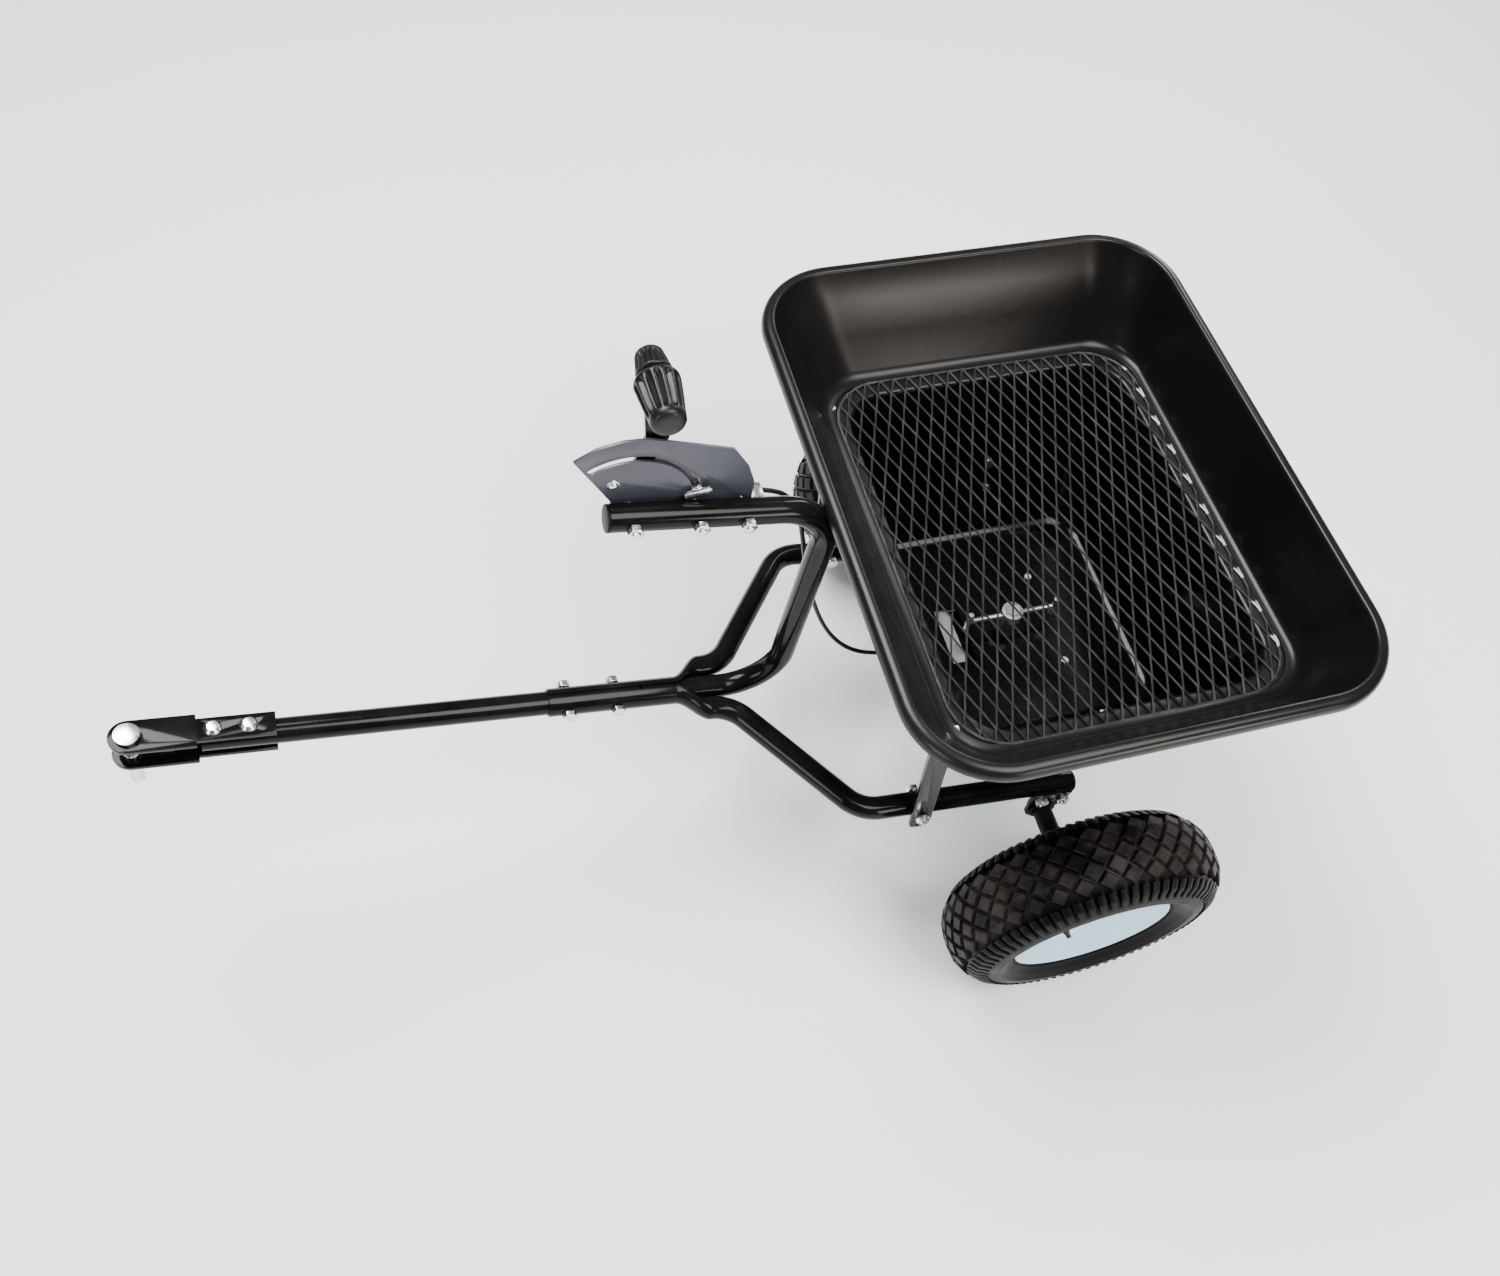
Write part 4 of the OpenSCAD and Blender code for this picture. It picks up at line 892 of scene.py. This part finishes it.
class CART_OT_knob(bpy.types.Operator):
    """Turns the two fluted halves of the lever's knob"""
    bl_idname = "cart.knob"
    bl_label = "Lever knob"

    def execute(self, context):
        flutes = context.scene.cart_frame.flutes
        front = ((0, 14.5, 0), (0.6, 17, 0), (1.6, 18.6, 0), (3.4, 19, 0), (4.6, 19, 0.4), (6.4, 18.9, 2.4),
                 (9, 18.7, 3.2), (20, 17.4, 3.4), (30, 16.1, 3.2), (35, 15.4, 2.6), (37.6, 15, 1.2),
                 (39, 14.9, 0.2), (40.4, 14.8, 0), (43.4, 14.3, 0), (45.6, 12.9, 0), (46.6, 10.6, 0),
                 (47, 7, 0), (47.1, 2, 0))
        back = ((0, 12, 0), (0.7, 14.2, 0), (1.8, 15, 0), (3, 15, 0.2), (4.6, 14.8, 1.4), (14, 13.2, 1.7),
                (19.6, 12.2, 1.5), (21.2, 11.9, 0.3), (22.6, 11.2, 0), (23.7, 9.4, 0), (24, 6, 0), (24, 1, 0))
        near = fluted("lever_grip", front, -17.9, 1, flutes)
        far = fluted("grip_back", back, -22.1, -1, flutes + 6)
        done(joined([near, far]), "lever_set", "grip", ["lever_knob"], angle=50)
        return {"FINISHED"}


class CART_OT_plate_rivet(bpy.types.Operator):
    """Turns the small domed rivet head on the near face of the quadrant plate"""
    bl_idname = "cart.plate_rivet"
    bl_label = "Plate rivet"

    def execute(self, context):
        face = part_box("quadrant_plate")[1][1]
        centre = tilted(PIVOT_U + 18.5, face / MM, TUBE_RISE + CONTROL_RISE + 29)
        outline = ((0, -0.6), (5.4, -0.6), (5.6, 0.3), (5.3, 0.8), (4.1, 0.9), (3.9, 1.6), (3.1, 2.6),
                   (1.8, 3.2), (0, 3.4))
        piece = turned("rivet_head", outline, centre, 1, 32)
        done(piece, "frame", "zinc")
        return {"FINISHED"}


class CART_OT_cable(bpy.types.Operator):
    """Runs the control cable from its clamp, down behind the riser and back to the gate"""
    bl_idname = "cart.cable"
    bl_label = "Control cable"

    # x and z from the axle and y from the middle, in millimetres
    ROUTE = ((315, -24, 402), (302, -24, 398), (289, -24, 388), (279, -24, 372), (271, -24, 350),
             (265, -24, 322), (259, -24, 290), (253, -24, 258), (246, -24, 226), (238, -23, 196),
             (229, -21, 168), (219, -18, 143), (207, -14, 122), (193, -9, 107), (178, -5, 98),
             (163, -2, 94), (148, 0, 92.5))

    def execute(self, context):
        rest()
        bpy.ops.curve.primitive_nurbs_path_add()
        piece = named("flow_cable")
        spline = piece.data.splines[0]
        spline.points.add(len(self.ROUTE) - len(spline.points))
        for point, (x, y, z) in zip(spline.points, self.ROUTE):
            point.co = (*at(x, y, z + AXLE.z / MM), 1)
        spline.order_u = 3
        spline.use_endpoint_u = True
        spline.resolution_u = 4
        piece.data.bevel_depth = 0.0025
        piece.data.bevel_resolution = 4
        piece.data.use_fill_caps = True
        hold(piece)
        bpy.ops.object.convert(target="MESH")
        done(bpy.context.object, "frame", "cable_skin", ["control_cable"], angle=50)
        return {"FINISHED"}


# CAD nodes that keep their shape and get rounded edges, with their share of the edge rounding
SOFTENED = {
    "hitch_strap_upper": 1.4, "hitch_strap_lower": 1.4, "hitch_pin": 1.2, "hitch_bolts": 0.6,
    "quadrant_plate": 0.8, "quadrant_bolts": 0.8, "lever": 1.0, "pivot_bolt": 0.8, "stop_bolt": 0.6,
    "stop_slider": 0.5, "joint_bolts": 0.9, "strap_bolts": 0.8, "bracket_bolts": 0.8,
    "strap_front_left": 1.2, "strap_front_right": 1.2, "strap_rear_left": 1.2, "strap_rear_right": 1.2,
    "axle_bracket_left": 1.4, "axle_bracket_right": 1.4, "hub_cap_left": 1.2, "hub_cap_right": 1.2,
    "tube_plugs": 1.4, "cable_clamps": 0.8,
    "gearbox_left": 2.0, "gearbox_right": 2.0, "spinner_disc": 0.8, "agitator": 0.8, "gate_guide": 0.8,
    "shutter_gate": 0.6,
}


class CART_OT_hardware(bpy.types.Operator):
    """Rounds the edges of the pressed, cut and forged parts"""
    bl_idname = "cart.hardware"
    bl_label = "Plates, bolts and castings"

    def execute(self, context):
        width = context.scene.cart_frame.bevel
        slots = {part["node"]: part["material_slot"] for part in frame["record"]["subparts"]}
        members = frame["record"]["behaviour"]["bodies"]
        bodies = {name: body for body, names in members.items() for name in names}
        for name, share in SOFTENED.items():
            rest()
            piece = bpy.data.objects.new(name + "_rounded", frame["nodes"][name].data.copy())
            context.collection.objects.link(piece)
            hold(piece)
            bpy.ops.object.mode_set(mode="EDIT")
            bpy.ops.mesh.select_all(action="SELECT")
            bpy.ops.mesh.remove_doubles(threshold=1e-6)
            bpy.ops.mesh.dissolve_limited(angle_limit=radians(1.0))
            bpy.ops.object.mode_set(mode="OBJECT")
            modify(piece, "BEVEL", width=width * share, segments=2, limit_method="ANGLE",
                   angle_limit=radians(38), use_clamp_overlap=True)
            done(piece, bodies[name], slots[name], [name], angle=38)
        return {"FINISHED"}


def soft_light(name, place, aim, size, power, colour=(1, 1, 1)):
    """An area light that points at a place."""
    rest()
    bpy.ops.object.light_add(type="AREA", location=place)
    lamp = bpy.context.object
    lamp.name = name
    lamp.data.shape = "RECTANGLE"
    lamp.data.size, lamp.data.size_y = size
    lamp.data.energy = power
    lamp.data.color = colour
    lamp.rotation_euler = (Vector(aim) - Vector(place)).to_track_quat("-Z", "Y").to_euler()


class CART_OT_stage(bpy.types.Operator):
    """Sets the pale floor, the soft lights and the camera"""
    bl_idname = "cart.stage"
    bl_label = "Stage"

    def execute(self, context):
        colour = context.scene.cart_colours.floor
        rest()
        bpy.ops.mesh.primitive_plane_add(size=24, location=(0, 0, 0))
        floor = named("studio_floor")
        material = bpy.data.materials.new("studio_floor")
        material.use_nodes = True
        shader = material.node_tree.nodes["Principled BSDF"]
        shader.inputs["Base Color"].default_value = (*colour, 1)
        shader.inputs["Roughness"].default_value = 0.9
        shader.inputs["Specular IOR Level"].default_value = 0.1
        floor.data.materials.append(material)
        world = bpy.data.worlds.new("studio")
        context.scene.world = world
        world.use_nodes = True
        world.node_tree.nodes["Background"].inputs["Color"].default_value = (0.95, 0.97, 1.0, 1)
        world.node_tree.nodes["Background"].inputs["Strength"].default_value = 0.2
        aim = (-0.2, 0, 0.35)
        soft_light("key", (0.7, -1.1, 3.0), aim, (1.5, 1.5), 190)
        soft_light("second_key", (-1.0, 1.3, 3.1), aim, (1.8, 1.8), 150)
        soft_light("front_fill", (2.6, 1.8, 1.5), aim, (1.0, 1.5), 45)
        soft_light("window", (-1.5, 2.6, 0.95), (-0.35, -0.25, 0.5), (0.9, 0.9), 44, (1.0, 0.9, 0.8))
        soft_light("back_strip", (-1.9, -1.5, 1.6), (-0.4, 0, 0.5), (0.3, 1.8), 22)
        rest()
        bpy.ops.object.camera_add(location=(0.20982, 0.63802, 1.46014),
                                  rotation=tuple(radians(a) for a in (31.237, -4.762, 165.128)))
        camera = bpy.context.object
        camera.data.sensor_fit = "HORIZONTAL"
        camera.data.sensor_width = 36
        camera.data.lens = 30.37
        camera.data.clip_start = 0.02
        context.scene.camera = camera
        return {"FINISHED"}


STEPS = (CART_OT_finishes, CART_OT_hopper, CART_OT_screen, CART_OT_tyres, CART_OT_rims, CART_OT_valves,
         CART_OT_side_tubes, CART_OT_centre_tubes, CART_OT_knob, CART_OT_plate_rivet, CART_OT_cable,
         CART_OT_hardware, CART_OT_stage)


class CART_PT_panel(bpy.types.Panel):
    """Sizes, colours and building steps of the spreader cart"""
    bl_idname = "CART_PT_panel"
    bl_label = "Spreader Cart"
    bl_space_type = "VIEW_3D"
    bl_region_type = "UI"
    bl_category = "Spreader Cart"

    def draw(self, context):
        layout = self.layout
        for title, group in (("Hopper", "cart_hopper"), ("Wheels", "cart_wheels"), ("Frame", "cart_frame"),
                             ("Colours", "cart_colours")):
            box = layout.box()
            box.label(text=title)
            settings = getattr(context.scene, group)
            for key in settings.__annotations__:
                box.prop(settings, key)
        for step in STEPS:
            layout.operator(step.bl_idname)


GROUPS = {"cart_hopper": CartHopper, "cart_wheels": CartWheels, "cart_frame": CartFrame,
          "cart_colours": CartColours}


def register():
    for made in (*GROUPS.values(), *STEPS, CART_PT_panel):
        bpy.utils.register_class(made)
    for name, group in GROUPS.items():
        setattr(bpy.types.Scene, name, PointerProperty(type=group))


def unregister():
    for name in GROUPS:
        delattr(bpy.types.Scene, name)
    for made in reversed((*GROUPS.values(), *STEPS, CART_PT_panel)):
        bpy.utils.unregister_class(made)


def main():
    """Builds everything."""
    register()
    for step in STEPS:
        family, name = step.bl_idname.split(".")
        getattr(getattr(bpy.ops, family), name)()
    rest()


if __name__ == "__main__":
    main()
